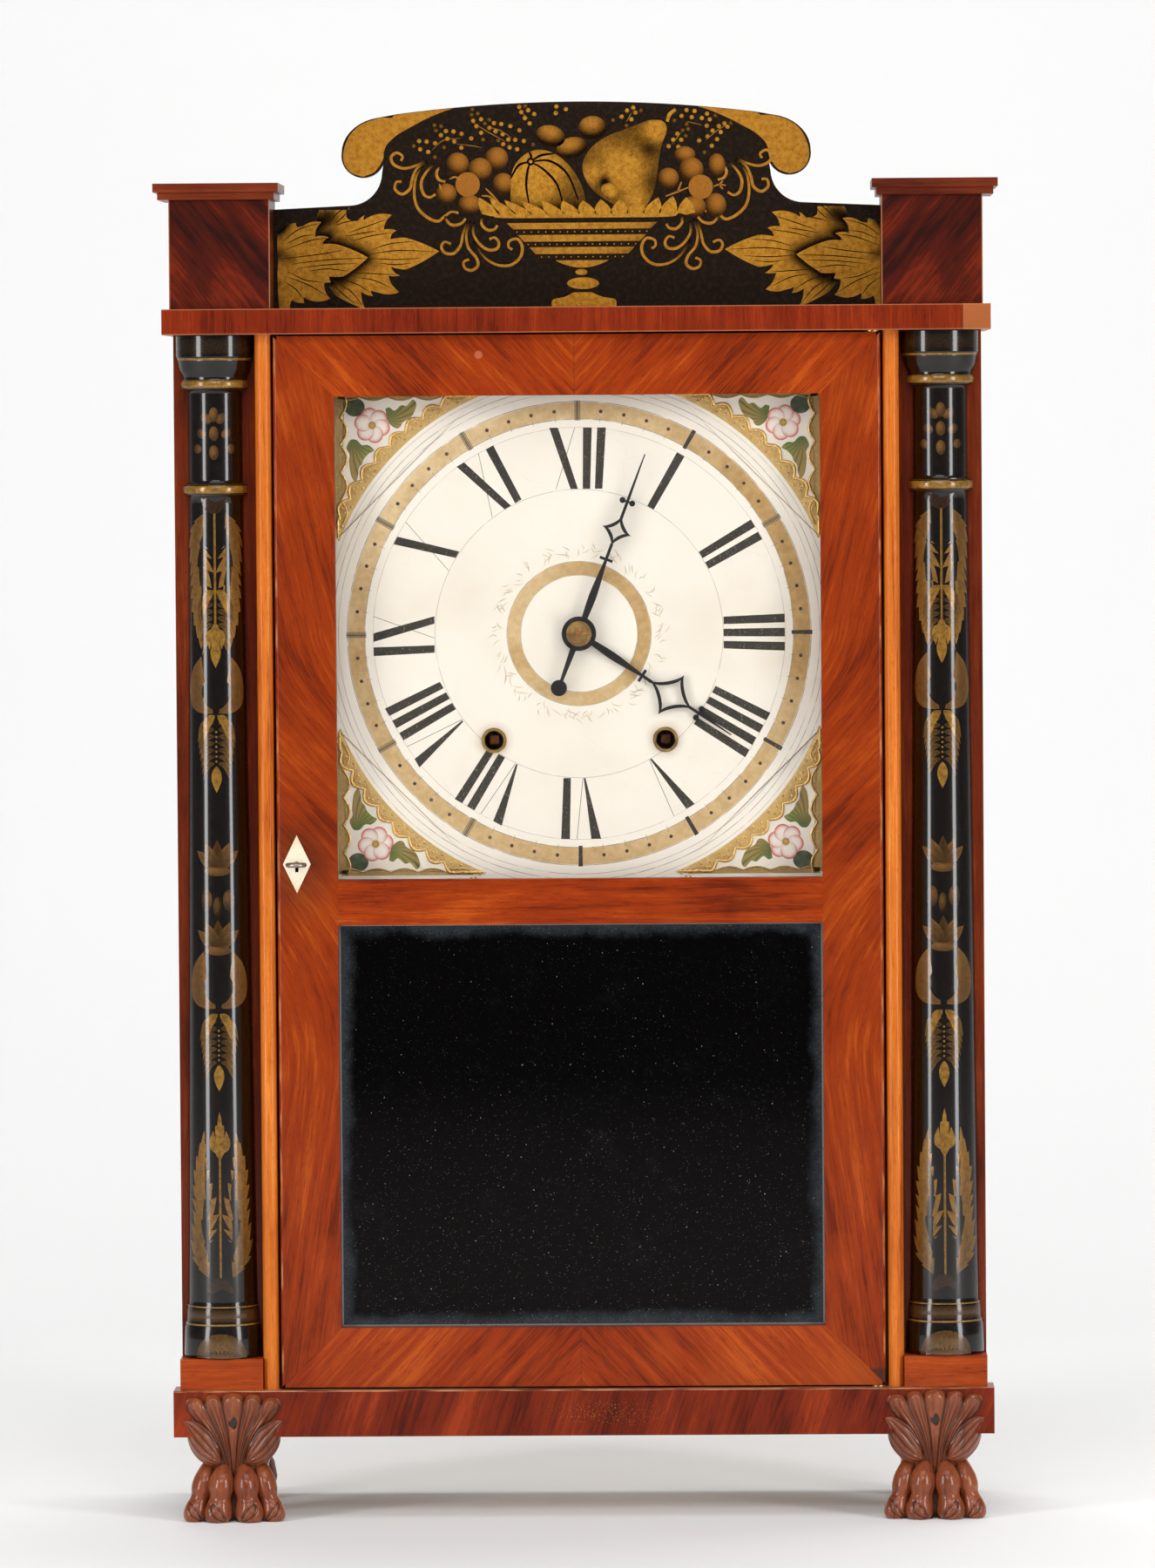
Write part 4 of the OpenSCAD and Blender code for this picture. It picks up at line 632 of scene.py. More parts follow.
def run_length(line):
    """How far along a line each of its points lies."""
    return np.concatenate([[0], np.cumsum(np.linalg.norm(np.diff(line, axis=0), axis=1))])


OTHER_SIDE = np.array([-1.0, 1.0])  # mirrors a flat patch


def circle(count, closed=True):
    """Angles of one turn; a closed circle ends on its first place."""
    return np.linspace(0, 2 * np.pi, count, endpoint=closed)


# %% [markdown]
# A column is turned on a lathe and then split, so its flat back can be glued on. A
# profile of radius against height, carried round half a turn, gives it. The CAD profile
# has sharp steps; here each bead and cove gets a round section, and the shaft swells
# very slightly. Its skin is black lacquer over ochre, crazed into little cells.

# %% Column profile
COLUMN_X, COLUMN_Y = 191.6, -39.0
BAY_0, BAY_1, BLOCK = 69.5, 627.5, 16.5
Z0 = BAY_0 + BLOCK
H = BAY_1 - Z0
PROFILE = np.array([
    (0, 20.2), (0.5, 20.9), (2, 20.9), (10, 20.7), (16.4, 20.4), (17.4, 19.9), (18.2, 19.9), (19, 19.3),
    (22, 19.3), (26, 19.15), (26.8, 18.9), (27.6, 18.95), (28.6, 18.5), (60, 18.1), (150, 17.3),
    (260, 16.4), (360, 15.4), (H - 90, 14.6), (H - 86, 14.55), (H - 84.6, 15.6), (H - 83.6, 16.9),
    (H - 81.5, 17.25), (H - 79.4, 16.9), (H - 78.4, 15.6), (H - 77.6, 14.5), (H - 52, 14.45),
    (H - 30, 14.5), (H - 29, 15.6), (H - 28, 17.6),
    (H - 26, 18.1), (H - 24, 17.6), (H - 23, 17.05), (H - 21.6, 17.4), (H - 18, 19.2), (H - 13, 19.75),
    (H - 12, 20.2), (H - 11.4, 20.45), (H - 0.5, 20.5), (H, 20.3)])


def column_radius(height):
    return np.interp(height, *PROFILE.T)


HEIGHTS = np.unique(np.concatenate([PROFILE[:, 0], np.linspace(30, H - 90, 40),
                                    np.linspace(H - 76, H - 31, 8)]))


def half_column(side):
    """Radius against height, carried from the left edge of the flat back round the front to the right."""
    turn = np.linspace(0, np.pi, 49)
    r = column_radius(HEIGHTS)[:, None]
    x = side * COLUMN_X + r * np.cos(np.pi - turn)
    return np.stack([x, COLUMN_Y - r * np.sin(turn), (Z0 + HEIGHTS)[:, None] + 0 * x], -1)


# %% [markdown]
# Bronze stencilling is paint without a brush: powder is rubbed on tacky varnish through
# a cut paper, thick at one side of each form and fading to nothing at the other. So each
# leaf or fruit here is a thin patch a few hundredths of a millimetre above the lacquer,
# and a number at each point says how much powder lies there. The finish mixes gold
# into black by that number and eats holes in it where two centuries rubbed it off.

# %% Black lacquer and bronze powder


def lacquer(name, gold, old_gold, copper_gold, speck, crackle, shine, body=0.07):
    """Black lacquer under powder. Of the stored tone, the first channel is the powder's amount and
    the second its redness."""
    f = Finish(name, Coat_Roughness=0.11, Specular_IOR_Level=body)
    x, y, z = f.place()
    v = f.vector(x, y, z)
    powder, redness = (f.node("SeparateColor", out=channel, Color=f.attribute("tone"))
                       for channel in (0, 1))
    mottled = f.noise(v, 0.35, 5.0, 0.7)
    grit = f.noise(v, 2.6, 2.0, 0.6)
    loss = f.noise(v, 0.9, 4.0, 0.72).step(0.60, 0.66) * speck
    cover = (powder + (grit - 0.5) * 0.5 * powder.step(0.0, 0.3)).step(0.10, 0.85) * (1.0 - loss)
    black = f.mix((0.0025, 0.0012, 0.0006), (0.0080, 0.0040, 0.0018), mottled.step(0.4, 0.8))
    paint = f.mix(f.mix(gold, old_gold, mottled.step(0.35, 0.70)), copper_gold, redness)
    f.set(Base_Color=f.mix(black, paint, cover), Metallic=cover * 0.30,
          Roughness=cover * 0.16 + (mottled - 0.5) * 0.12 + 0.26, Coat_Weight=cover * -0.05 + shine)
    cells = f.node("TexVoronoi", {"feature": "DISTANCE_TO_EDGE"},
                   Vector=f.vector(x * 0.8, y * 0.8, z * 1.7), Scale=crackle)
    f.bump(cells.step(0.0, 0.10) * 0.7 + grit * 0.3, 0.08, 0.3)
    return f


column_finish = lacquer("column_lacquer", (0.29, 0.150, 0.020), (0.13, 0.058, 0.010), (0.170, 0.075, 0.022),
                        0.6, 0.85, 0.75)
splat_finish = lacquer("splat_lacquer", (0.47, 0.225, 0.026), (0.26, 0.100, 0.009), (0.280, 0.104, 0.016),
                       0.85, 0.35, 0.10, 0.02)


def blade(rib, half, lobes=0, lean=0.25, size=(60, 13), depth=0.45, powder=(0.1, 1.0)):
    """A leaf in the plane: points step sideways from a middle rib by half * sin(pi t^0.72), which is
    fullest in its first half and comes to a point; a saw wave cuts lobes that lean to the tip. The
    powder is given for the root and for the tip and edge, and its redness may follow."""
    t = np.linspace(0, 1, size[0])
    v = np.linspace(-1, 1, size[1])
    p = spline(rib, size[0])
    d, n = flat_heading(p)
    width = half * np.sin(np.pi * t**0.72) + 0.02
    if lobes:
        width = width * (1 - depth * (1 - (t * lobes) % 1.0))
    grid = p[:, None] + n[:, None] * (width[:, None] * v)[..., None] + d[:, None] * (
        width[:, None] * np.abs(v) * lean)[..., None]
    root, tip, *red = powder
    return grid, powder_of(root + (tip - root) * (0.7 * t[:, None] + 0.3 * np.abs(v)[None]), *red)


def powder_of(amount, red=0.0):
    """Two numbers at each point: how much powder, and how red it is."""
    amount = np.clip(amount, 0, 1)
    return np.stack([amount, red + 0 * amount, 0 * amount], -1)


def disc(centre, rx, ry=None, lit_at=(-0.3, 0.3), powder=(0.25, 1.0), size=(9, 28), turn=0.0):
    """A round form: rings shrink to the centre. The powder is given for the side away from the light
    and for the lit side, and its redness may follow."""
    ry = ry or rx
    r = np.linspace(0.001, 1, size[0])[:, None]
    a = circle(size[1])[None]
    u, w = r * np.cos(a), r * np.sin(a)
    far = np.hypot(u - lit_at[0], w - lit_at[1])
    c, s = math.cos(turn), math.sin(turn)
    grid = np.stack([centre[0] + rx * u * c - ry * w * s, centre[1] + rx * u * s + ry * w * c], -1)
    dark, bright, *red = powder
    return grid, powder_of(dark + (bright - dark) * np.clip(1.15 - far, 0, 1), *red)


def stroke(points, width, count=40, tone=0.9, taper=0.35, blob=0.0, red=0.0, fade=0.0):
    """A brush line along a smooth curve, thinner at both ends, with a round tip if blob is given;
    fade leaves its first part dark."""
    p = spline(points, count)
    n = flat_heading(p)[1]
    t = np.linspace(0, 1, count)
    w = width / 2 * (1 - (1 - taper) * np.abs(2 * t - 1) ** 1.5) + blob * np.exp(-((t - 1) * 18) ** 2)
    v = np.array([-1.0, 0.0, 1.0])
    amount = tone * np.clip((t + 0.02) / max(fade, 1e-6), 0, 1)[:, None] * np.ones(3)
    return p[:, None] + n[:, None] * (w[:, None] * v)[..., None], powder_of(amount, red)


# %% [markdown]
# On a column the patches must bend round the shaft. A drawing in flat millimetres,
# sideways from the front line and up, is wrapped by turning the sideways distance
# into an angle. The ornament is the usual one for such columns: tall paired leaves
# round a staff at both ends of the shaft, palmettes and berries between them, gold
# rings at every turned step, and a half-round on the foot.

# %% Columns


def wrap(flat, side, layer):
    """Sideways millimetres become an angle round the shaft; layer lifts the patch a hair."""
    s, h = flat[..., 0], flat[..., 1]
    r = column_radius(h) + 0.03 * layer
    a = s / np.maximum(column_radius(h), 1)
    return np.stack([side * COLUMN_X + r * np.sin(a), COLUMN_Y - r * np.cos(a), Z0 + h], -1)


def column_drawing():
    """All patches of one column as (grid, powder, layer), in flat millimetres."""
    out = []

    def one(grid, tone, layer):
        out.append((grid, tone, layer))

    def both(grid, tone, layer):
        one(grid, tone, layer)
        one(grid[:, ::-1] * OTHER_SIDE, tone[:, ::-1], layer)

    for low, up, scale in ((43.0, 1, 1.0), (H - 94.0, -1, 0.92)):
        def at(*points):
            return [(x * scale, low + up * y * scale) for x, y in points]
        both(*blade(at((6.5, 0), (12, 14), (9.8, 34), (11.2, 56), (8.6, 78)), 9.2 * scale, 11, 0.6,
                    (132, 13), depth=0.40, powder=(0.42, 0.85, 0.45)), 1)
        both(*blade(at((4.5, 6), (8.5, 26), (7, 44), (8.5, 62)), 2.6 * scale, 5, 0.5,
                    powder=(0.05, 0.3, 0.4)), 1.5)
        one(*stroke(at((0, 0), (0, 30), (0, 64)), 1.25, tone=0.62, taper=0.9, red=0.2), 2)
        both(*blade(at((1.2, 66), (3.6, 71), (3.4, 78)), 2.1 * scale, size=(20, 5), powder=(0.6, 0.8)), 2.3)
        one(*blade(at((0, 62), (0, 72), (0, 88)), 3.9 * scale, 4, 0.6, (40, 13), powder=(0.6, 0.85)), 2.5)
        one(*blade(at((-8, -9), (0, -3), (8, -9)), 3.2, size=(20, 5), powder=(0.25, 0.25, 1.0)), 1)
    for tip in (142.0, 300.0, 366.0):
        one(*blade([(0, tip + 14), (0, tip + 7), (0, tip)], 2.7, size=(24, 7), powder=(0.75, 0.9)), 2)
        for k in range(7):
            reach, start = 6.0 + 0.55 * k, tip + (15.5 + 3.6 * k)
            rib = [(0.9, start), (reach * 0.75, start - 1.5), (reach + 1.5, start - (9.0 + 0.3 * k))]
            both(*blade(rib, 1.25 + 0.11 * k, size=(22, 5), powder=(0.25, 0.55, 0.3)), 1 + 0.1 * k)
            one(*disc((0, tip + (16.5 + 2.6 * k)), 0.62, size=(3, 9), powder=(0.6, 0.8)), 2.6)
        rib = [(0.7, tip + 41), (4.5, tip + 37), (6.8, tip + 27)]
        both(*blade(rib, 2.3, size=(26, 7), powder=(0.5, 0.85)), 2.2)
    for level in (186.0, 342.0):
        both(*blade([(1.5, level), (11, level + 8), (11, level + 20), (8, level + 30)], 6.0, size=(30, 9),
                    powder=(0.45, 0.62, 0.7)), 0.6)
        both(*blade([(2, level + 2), (5, level + 12), (1.5, level + 22)], 3.0, size=(24, 7),
                    powder=(0.0, 0.0)), 0.9)
    for level in (222.0, 264.0):
        for turn in (-0.9, -0.45, 0.0):
            tip = (15 * math.sin(turn), level - 4 + 15 * math.cos(turn))
            both(*blade([(0, level - 5), (tip[0] * 0.55, level - 4 + (tip[1] - level + 4) * 0.5), tip], 2.9,
                        size=(24, 7), powder=(0.25, 0.60, 0.7)), 0.8)
        one(*disc((0, level - 5.5), 7.0, 2.6, powder=(0.40, 0.60, 0.7)), 1.0)
    one(*disc((0, 239.0), 2.6, 6.0, powder=(0.15, 0.45, 0.4)), 1.0)
    both(*disc((6.0, 243.0), 3.2, 5.6, powder=(0.25, 0.50, 0.8)), 1.0)
    for k in range(3):
        both(*disc((4.2 + 2.6 * k, H - 44 - 8.0 * k), 3.4 - 0.4 * k, 2.5, powder=(0.30, 0.55, 0.7),
                   turn=0.7), 1)
        one(*disc((0, H - 42 - 10.0 * k), 2.5, 3.9, powder=(0.32, 0.60, 0.6)), 1.5)
    one(*disc((0, H - 4.6), 9.5, 4.6, powder=(0.2, 0.55, 0.35)), 1)
    one(*disc((0, 1.0), 14.5, 12.5, lit_at=(0, 0.3), size=(12, 28), powder=(0.30, 0.50, 0.45)), 1)
    one(*disc((0, 0.6), 11.0, 4.0, lit_at=(0, -0.3), size=(8, 28), powder=(0.30, 0.62, 0.9)), 1.4)
    return out


def ring_band(side, low, high, tone):
    """A gold ring right round the half column between two heights."""
    h = np.linspace(low, high, 6)[:, None]
    a = np.linspace(-np.pi / 2 + 0.01, np.pi / 2 - 0.01, 49)[None]
    r = column_radius(h) + 0.12
    grid = np.stack([side * COLUMN_X + r * np.sin(a), COLUMN_Y - r * np.cos(a), Z0 + h + 0 * a], -1)
    fade = np.array([0.2, 0.9, 1.0, 1.0, 0.9, 0.2])[:, None] * tone
    return grid, np.broadcast_to(fade, grid.shape[:2])


RINGS = [  # lower and upper edge of each gold ring, powder and redness
    (18.4, 27.0, 0.36, 0.9), (17.4, 18.6, 0.85, 0.1), (26.6, 27.8, 0.85, 0.1),
    (H - 84.6, H - 78.4, 0.80, 0.0), (H - 28.9, H - 23.4, 0.80, 0.1), (H - 13.6, H - 12.0, 0.70, 0.1),
    (H - 11.4, H - 0.6, 0.22, 0.7)]
columns = Surface()
for side in (-1, 1):
    columns.add(half_column(side), 0.0)
    back = half_column(side)[:, [0, -1]]
    columns.add(back, 0.0, flip=True)
    for end, flip in ((0, True), (-1, False)):
        rim = half_column(side)[end]
        middle = np.broadcast_to(rim[[0, -1]].mean(0), rim.shape)
        columns.add(np.stack([rim, middle]), 0.0, flip=flip)
    for low, high, tone, red in RINGS:
        grid, fade = ring_band(side, low, high, tone)
        columns.add(grid, powder_of(fade, red))
    for flat, tone, layer in column_drawing():
        flat = np.stack([flat[..., 0], flat[..., 1].clip(0.5, H - 0.5)], -1)
        columns.add(wrap(flat, side, 1 + layer), tone, front=True)
columns.build("stencilled_columns", column_finish, "case", ["columns"], "black_lacquer")

# %% [markdown]
# The splat is a thin board sawn to a scrolled outline. The CAD board is kept, in black
# lacquer, and the stencil lies on its front: a footed bowl of fruit between scrolling
# tendrils, sprays of berries above, large leaves at both ends, and gold over the ears.
# Fruit, leaves and bowls like these were cut and used again by many workshops, so the
# layout below is a plain one of that kind, laid out form by form in millimetres from
# the middle of the splat's foot.

# %% Splat
SPLAT_Z, SPLAT_Y, SLIP = 641.0, -20.0, 2.8
splat_paint = Surface()


def crown(x):
    """Upper edge of the board: a low parabola, then the round brow over the ear."""
    x = np.abs(x)
    brow = 82.5 + 19 * np.sqrt(np.clip(1 - ((x - 101) / 23.4) ** 2, 0, 1))
    return np.where(x < 97, 109 - 6 * (x / 95) ** 2, brow) - 0.25


def shoulder(x):
    """Upper edge below the ears: a flat shoulder, then the hollow that climbs to the ear."""
    x = np.abs(x)
    hollow = 72.4 - np.sqrt(np.clip(17.6**2 - (x - 120.6) ** 2, 0, None))
    return np.where(x > 120.6, 53.0, np.where(x > 103.2, hollow, 105.0)) - 0.4


def lay(flat, tone, layer=1.0, slip=SLIP, limit=crown):
    """Put a flat patch on the splat's front, each layer 0.02 mm prouder, cut off at the board's edge.
    The whole stencil slipped a little to the right when it was laid."""
    x = flat[..., 0] + slip
    z = np.minimum(flat[..., 1], limit(x)).clip(0.3, None)
    splat_paint.add(np.stack([x, np.full(x.shape, SPLAT_Y - 0.02 - 0.02 * layer), SPLAT_Z + z], -1), tone,
                    front=True)


def lay_both(flat, tone, layer=1.0, **where):
    lay(flat, tone, layer, **where)
    lay(flat[:, ::-1] * OTHER_SIDE, tone[:, ::-1], layer, **where)


def ruled(one, other, tones, rows=40, columns=9, red=0.0):
    """A patch between two smooth curves; powder goes from the first number to the second."""
    a, b = spline(one, rows), spline(other, rows)
    v = np.linspace(0, 1, columns)[None, :, None]
    amount = tones[0] + (tones[1] - tones[0]) * v[..., 0] + np.zeros((rows, 1))
    return a[:, None] * (1 - v) + b[:, None] * v, powder_of(amount, red)

# %% [markdown]
# The ears first: gold from edge to edge at the curl, drawn out to a point under the
# brow. Then two lobed leaves at the foot, the nearer laid last. Each leaf is ruled from
# its midrib to its edge, and since a lobe leans to the tip, its ruling starts further
# back. The powder is thin in the hollows and thick at every tip, and veins run out.

# %% Ears and leaves
EAR_OUTER = [
    (-64.5, 106), (-73.6, 105.4), (-84.6, 104.2), (-95.6, 102.6), (-106.7, 100.4), (-114.9, 97),
    (-120.4, 91.3), (-123.4, 83), (-122.8, 76.5), (-119, 72), (-113.1, 70)]
EAR_INNER = [
    (-64.9, 105.9), (-71.8, 103.6), (-81, 99.6), (-88.3, 95.7), (-94.7, 92.1), (-100, 87.3), (-101.9, 83.2),
    (-102.2, 80), (-103.6, 76.8), (-107.2, 72.4), (-112.6, 70.2)]
lay_both(*ruled(EAR_OUTER, EAR_INNER, (0.72, 0.95), 60, 15, red=0.25), 1, slip=0.0)


def lobed(points, spine, rows=220, columns=14):
    """Half of a lobed leaf, ruled from its midrib to its edge. Each edge point is x, z, how far the run
    up to it bows sideways as a share of its length, and the x on the midrib that it grows from.
    Places on the midrib follow the spine's straight line between its two ends."""
    path = [(points[0][0], points[0][1], points[0][3])]
    for x, z, bow, root in points[1:]:
        a, b = np.array(path[-1]), np.array([x, z, root])
        normal = np.array([-(b - a)[1], (b - a)[0], 0])
        path += [tuple(a + (b - a) * t - normal * bow * 4 * t * (1 - t)) for t in np.linspace(0, 1, 9)[1:]]
    path = np.array(path)
    far = run_length(path[:, :2])
    at = np.linspace(0, far[-1], rows)
    x, z, root = (np.interp(at, far, path[:, k]) for k in range(3))
    (x0, z0), (x1, z1) = spine
    rib = np.stack([root, z0 + (z1 - z0) * (root - x0) / (x1 - x0)], -1)
    v = np.linspace(0, 1, columns)[None, :, None]
    return rib[:, None] * (1 - v) + np.stack([x, z], -1)[:, None] * v


def lit(flat, base, spots):
    """Powder made of a base amount and soft round spots at (x, z, radius, strength)."""
    amount = np.full(flat.shape[:2], base)
    for x, z, r, strength in spots:
        amount = amount + strength * np.exp(-((flat[..., 0] - x) ** 2 + (flat[..., 1] - z) ** 2) / r**2)
    return amount


BACK_TOP = [
    (-139, 36.3, 0, -138.8), (-140.6, 49.5, 0, -138.6), (-137.6, 54.7, -0.06, -137.6),
    (-123.2, 55.7, 0, -136.3), (-124.9, 48.8, 0.1, -134.8), (-122.5, 47, 0.1, -133.8),
    (-119, 46.6, 0, -130.7), (-115.2, 49.7, -0.06, -129.2), (-115.8, 47, 0.1, -127.7),
    (-100.7, 49.7, -0.12, -121.7), (-105.1, 42, 0.12, -118.6), (-98.3, 41.4, -0.08, -113.6),
    (-101.7, 36.8, 0.16, -107.6), (-93.4, 37.6, -0.04, -97.5), (-75.8, 30.3, -0.03, -75.8)]
BACK_LOW = [
    (-139, 25.3, 0, -138.8), (-138.8, 17.2, 0, -138.6), (-134.8, 12.2, 0, -138.2),
    (-130.7, 7.1, 0.03, -137.6), (-114.8, -0.5, 0.02, -134.8), (-117.4, 9.3, -0.08, -132.8),
    (-111, 6.9, 0.1, -129.7), (-112.4, 9.9, -0.08, -126.7), (-107.6, 8.5, 0.02, -121.7),
    (-97.1, 8.9, 0.1, -118.1), (-102.9, 17.6, -0.1, -115.6), (-96.7, 17.6, 0.06, -111.6),
    (-101.3, 22.2, -0.12, -106), (-93.4, 20.8, 0.04, -97.5), (-75.8, 30.3, 0.03, -75.8)]
FRONT_TOP = [
    (-161.4, 26.3, 0, -161.4), (-161.8, 31.3, 0, -161.3), (-161.6, 40.4, 0, -161), (-151.7, 46, -0.1, -159),
    (-151.1, 43.6, 0.1, -158), (-147.9, 44.2, 0, -156.4), (-138.2, 46.2, -0.12, -153.4),
    (-141.6, 38.4, 0.12, -150.9), (-134.2, 38, -0.1, -148.4), (-137.6, 34.5, 0.16, -142.8),
    (-129.7, 34.3, -0.04, -134.8), (-113.6, 27.3, -0.03, -113.6)]
FRONT_LOW = [
    (-161.4, 24.3, 0, -161.4), (-161.8, 19.2, 0, -161.3), (-161.6, 11.1, 0, -161.1), (-161, 0.3, 0, -160.8),
    (-155.1, -0.5, 0.04, -159.5), (-154.3, 5.1, -0.1, -158), (-147.5, 3.5, 0.1, -155.4),
    (-147.9, 6.5, -0.1, -154.4), (-133.8, 5.7, 0.14, -151.9), (-137, 14, -0.12, -148.9),
    (-133.4, 14.4, 0.05, -144.9), (-134.2, 17.4, -0.1, -142.3), (-126.7, 17.4, 0.04, -133.8),
    (-113.6, 27.3, 0.03, -113.6)]
BACK_RIB, FRONT_RIB = ((-138.8, 30.3), (-75.8, 30.3)), ((-161.4, 25.3), (-113.6, 27.3))
BACK_SHADE = [(-133.8, 49.5, 6.5, -0.6), (-128.7, 14.2, 5.0, -0.4), (-107.6, 22.2, 3.0, -0.2)]
FRONT_SHADE = [
    (-162, 43.4, 6, -0.9), (-158, 49.5, 6, -0.8), (-162, 29.3, 5, -0.6), (-154.9, 26.8, 4.5, -0.45),
    (-162, 13.2, 3, -0.5), (-162, 3.1, 4, -0.5), (-144.9, 35.8, 2.2, -0.3), (-142.8, 19.2, 2.4, -0.35),
    (-151.9, 3.1, 3, -0.35)]
VEINS = [
    [(-113.6, 28.8), (-98.5, 30.8), (-78.5, 30.2)], [(-111.6, 31.5), (-101.5, 34.5), (-89.4, 35.6)],
    [(-112.6, 26.8), (-99.5, 26.1), (-85.9, 26.7)], [(-107.6, 24.3), (-99.5, 23.4), (-90.9, 24.1)],
    [(-123.7, 40.4), (-114.6, 43.6), (-102.9, 47.6)], [(-125.7, 38.6), (-116.6, 40.2), (-108.8, 41.4)],
    [(-121.7, 36.1), (-112.6, 38.6), (-100.7, 40.4)], [(-130.7, 44.4), (-125.2, 46.2), (-118.4, 47.2)],
    [(-133.3, 47), (-129.2, 51.3), (-124.5, 54.1)], [(-130.7, 45.6), (-126.9, 48.8), (-124.5, 51.5)],
    [(-119.7, 16.8), (-110.6, 15.2), (-100.7, 10.7)], [(-120.7, 19.2), (-109.6, 18.6), (-99.5, 18)],
    [(-125.7, 15.2), (-119.7, 13.2), (-112.8, 8.9)], [(-128.5, 12.8), (-122.7, 9.3), (-116.8, 2.1)],
    [(-131.5, 12.2), (-126.7, 7.7), (-120.7, 3.1)], [(-158.8, 36.3), (-149.9, 42.6), (-139.2, 45.6)],
    [(-156.9, 34.9), (-148.9, 38.6), (-142.4, 39.6)], [(-157.6, 31.7), (-144.9, 36.3), (-135.4, 37.8)],
    [(-160.2, 26.9), (-139.8, 29.1), (-126.9, 31.3)], [(-154.3, 24.1), (-133.8, 26.3), (-115.2, 26.9)],
    [(-150.9, 22), (-133.8, 23.7), (-119.7, 24.1)], [(-144.9, 20.4), (-134.8, 21.4), (-123.7, 20)],
    [(-155.9, 20), (-146.9, 15.6), (-138, 14.4)], [(-157.4, 17.6), (-145.9, 13.2), (-135, 6.9)],
    [(-158.4, 15.2), (-151.9, 10.5), (-148.3, 5.5)]]
near_edge = np.concatenate([lobed(edge, FRONT_RIB)[::4, -1] for edge in (FRONT_TOP, FRONT_LOW)])
FAR_LEAF, NEAR_LEAF = (BACK_RIB, BACK_SHADE, 1), (FRONT_RIB, FRONT_SHADE, 2)
for edge, (rib, shade, layer) in ((BACK_TOP, FAR_LEAF), (BACK_LOW, FAR_LEAF), (FRONT_TOP, NEAR_LEAF),
                                  (FRONT_LOW, NEAR_LEAF)):
    flat = lobed(edge, rib)
    powder = lit(flat, 0.92, shade)
    if layer == 1:  # the far leaf darkens towards the near one's edge
        gap = np.linalg.norm(flat[:, :, None] - near_edge, axis=-1).min(-1)
        powder = powder * (gap / 10).clip(0, 1) ** 0.8
    lay_both(flat, powder_of(powder, 0.08), layer, limit=shoulder)
for line in VEINS:
    lay_both(*stroke(line, 0.55, 22, tone=0.0, taper=0.3), 2.6, limit=shoulder)

# %% [markdown]
# The bowl stands on a stepped foot and is banded, gold stripes between rows of dots.
# Its rim is a crown of pointed leaves, each wide at the foot and drawn in to a tip
# by one minus a power of the height. The outer ones lean outwards.

# %% Bowl
BANDS = [  # upper and lower edge, half widths there, powder
    (44.9, 41.6, 39.8, 36.4, 0.85), (38.5, 35.0, 34.0, 30.8, 0.85), (32.0, 28.4, 27.9, 24.6, 0.80)]
DOTS = ((40.1, 34.5), (33.5, 28.5), (26.8, 21.5))  # height and half width of each row
u = np.linspace(-1, 1, 48)[:, None]
v = np.linspace(0, 1, 5)[None]
for high, low, half_top, half_low, tone in BANDS:
    flat = np.stack([u * (half_top * (1 - v) + half_low * v), high * (1 - v) + low * v + 0 * u], -1)
    lay(flat, powder_of(tone * (1.0 - 0.30 * np.abs(u + 0.1) ** 2) + 0 * v, 0.15), 1.4)
v = np.linspace(0, 1, 6)[None]
lay(np.stack([u * 19.0 * (1 - 0.25 * v), 25.0 - 3.9 * v * (1 - u**2)], -1),
    powder_of(0.85 - 0.3 * np.abs(u) + 0 * v, 0.1), 1.4)
for row, half in DOTS:
    for k in np.linspace(-1, 1, int(half / 1.75)):
        lay(*disc((k * half, row), 0.40, size=(2, 7), powder=(0.7, 0.8)), 1.4)
RIM_LOW = [
    (-50, 53.5), (-47.5, 49.3), (-43, 47.7), (-20, 47.5), (0, 47.5), (22, 47.5), (46, 47.7), (51, 49.3),
    (54, 54)]
RIM_TOP = [
    (-52, 54.5), (-48.5, 51.5), (-43, 50.2), (-20, 50), (0, 50), (22, 50), (46, 50.2), (52, 51.5), (55, 55)]
lay(*ruled(RIM_LOW, RIM_TOP, (1.0, 1.0), 70, 4), 4.0)
TIPS = [
    (-54.4, 58.6), (-48.6, 58.4), (-41, 57.2), (-31.5, 56.6), (-20.6, 56.6), (-9.9, 56.6), (0.6, 56.6),
    (10.2, 57.1), (20.6, 57.1), (31.3, 58), (40.6, 58), (48.4, 58.6), (55.6, 58)]
t = np.linspace(0, 1, 16)[:, None]
v = np.linspace(-1, 1, 7)[None]
half = 4.7 * (1 - t**1.8)
for k, tip in enumerate(TIPS):
    foot = -48.0 + 8.5 * k + (1.5 if k == 12 else 0)
    line = np.array([foot, 48.6]) * (1 - t)[..., None] + np.array(tip) * t[..., None]
    flat = line + np.stack([half * v, 0.25 * half * np.abs(v)], -1)
    lay(flat, powder_of(0.95 - 0.25 * (1 - t) * np.abs(v)), 4.2)
lay(*disc((-0.4, 18.7), 3.2, 1.6, powder=(0.6, 0.95)), 1.7)
lay(*disc((0.4, 12.8), 8.5, 3.1, lit_at=(0, 0), powder=(0.7, 1.0)), 1.8)
lay(*ruled([(-16.3, 0.4), (-15.6, 4.2), (-9.5, 5.6), (-4.5, 8.0)],
           [(18.0, 0.4), (17.4, 4.2), (10.5, 5.6), (5.0, 8.0)], (0.95, 0.85), 16, 20), 1.8)

# %% [markdown]
# The fruit is lit from the upper left: a ribbed melon, a pear, a few plums, and two
# bunches of cherries in redder powder. Twigs, berries and curling tendrils fill the
# ground around them. Every curl is a smooth line through a handful of places.

# %% Fruit, berries and tendrils


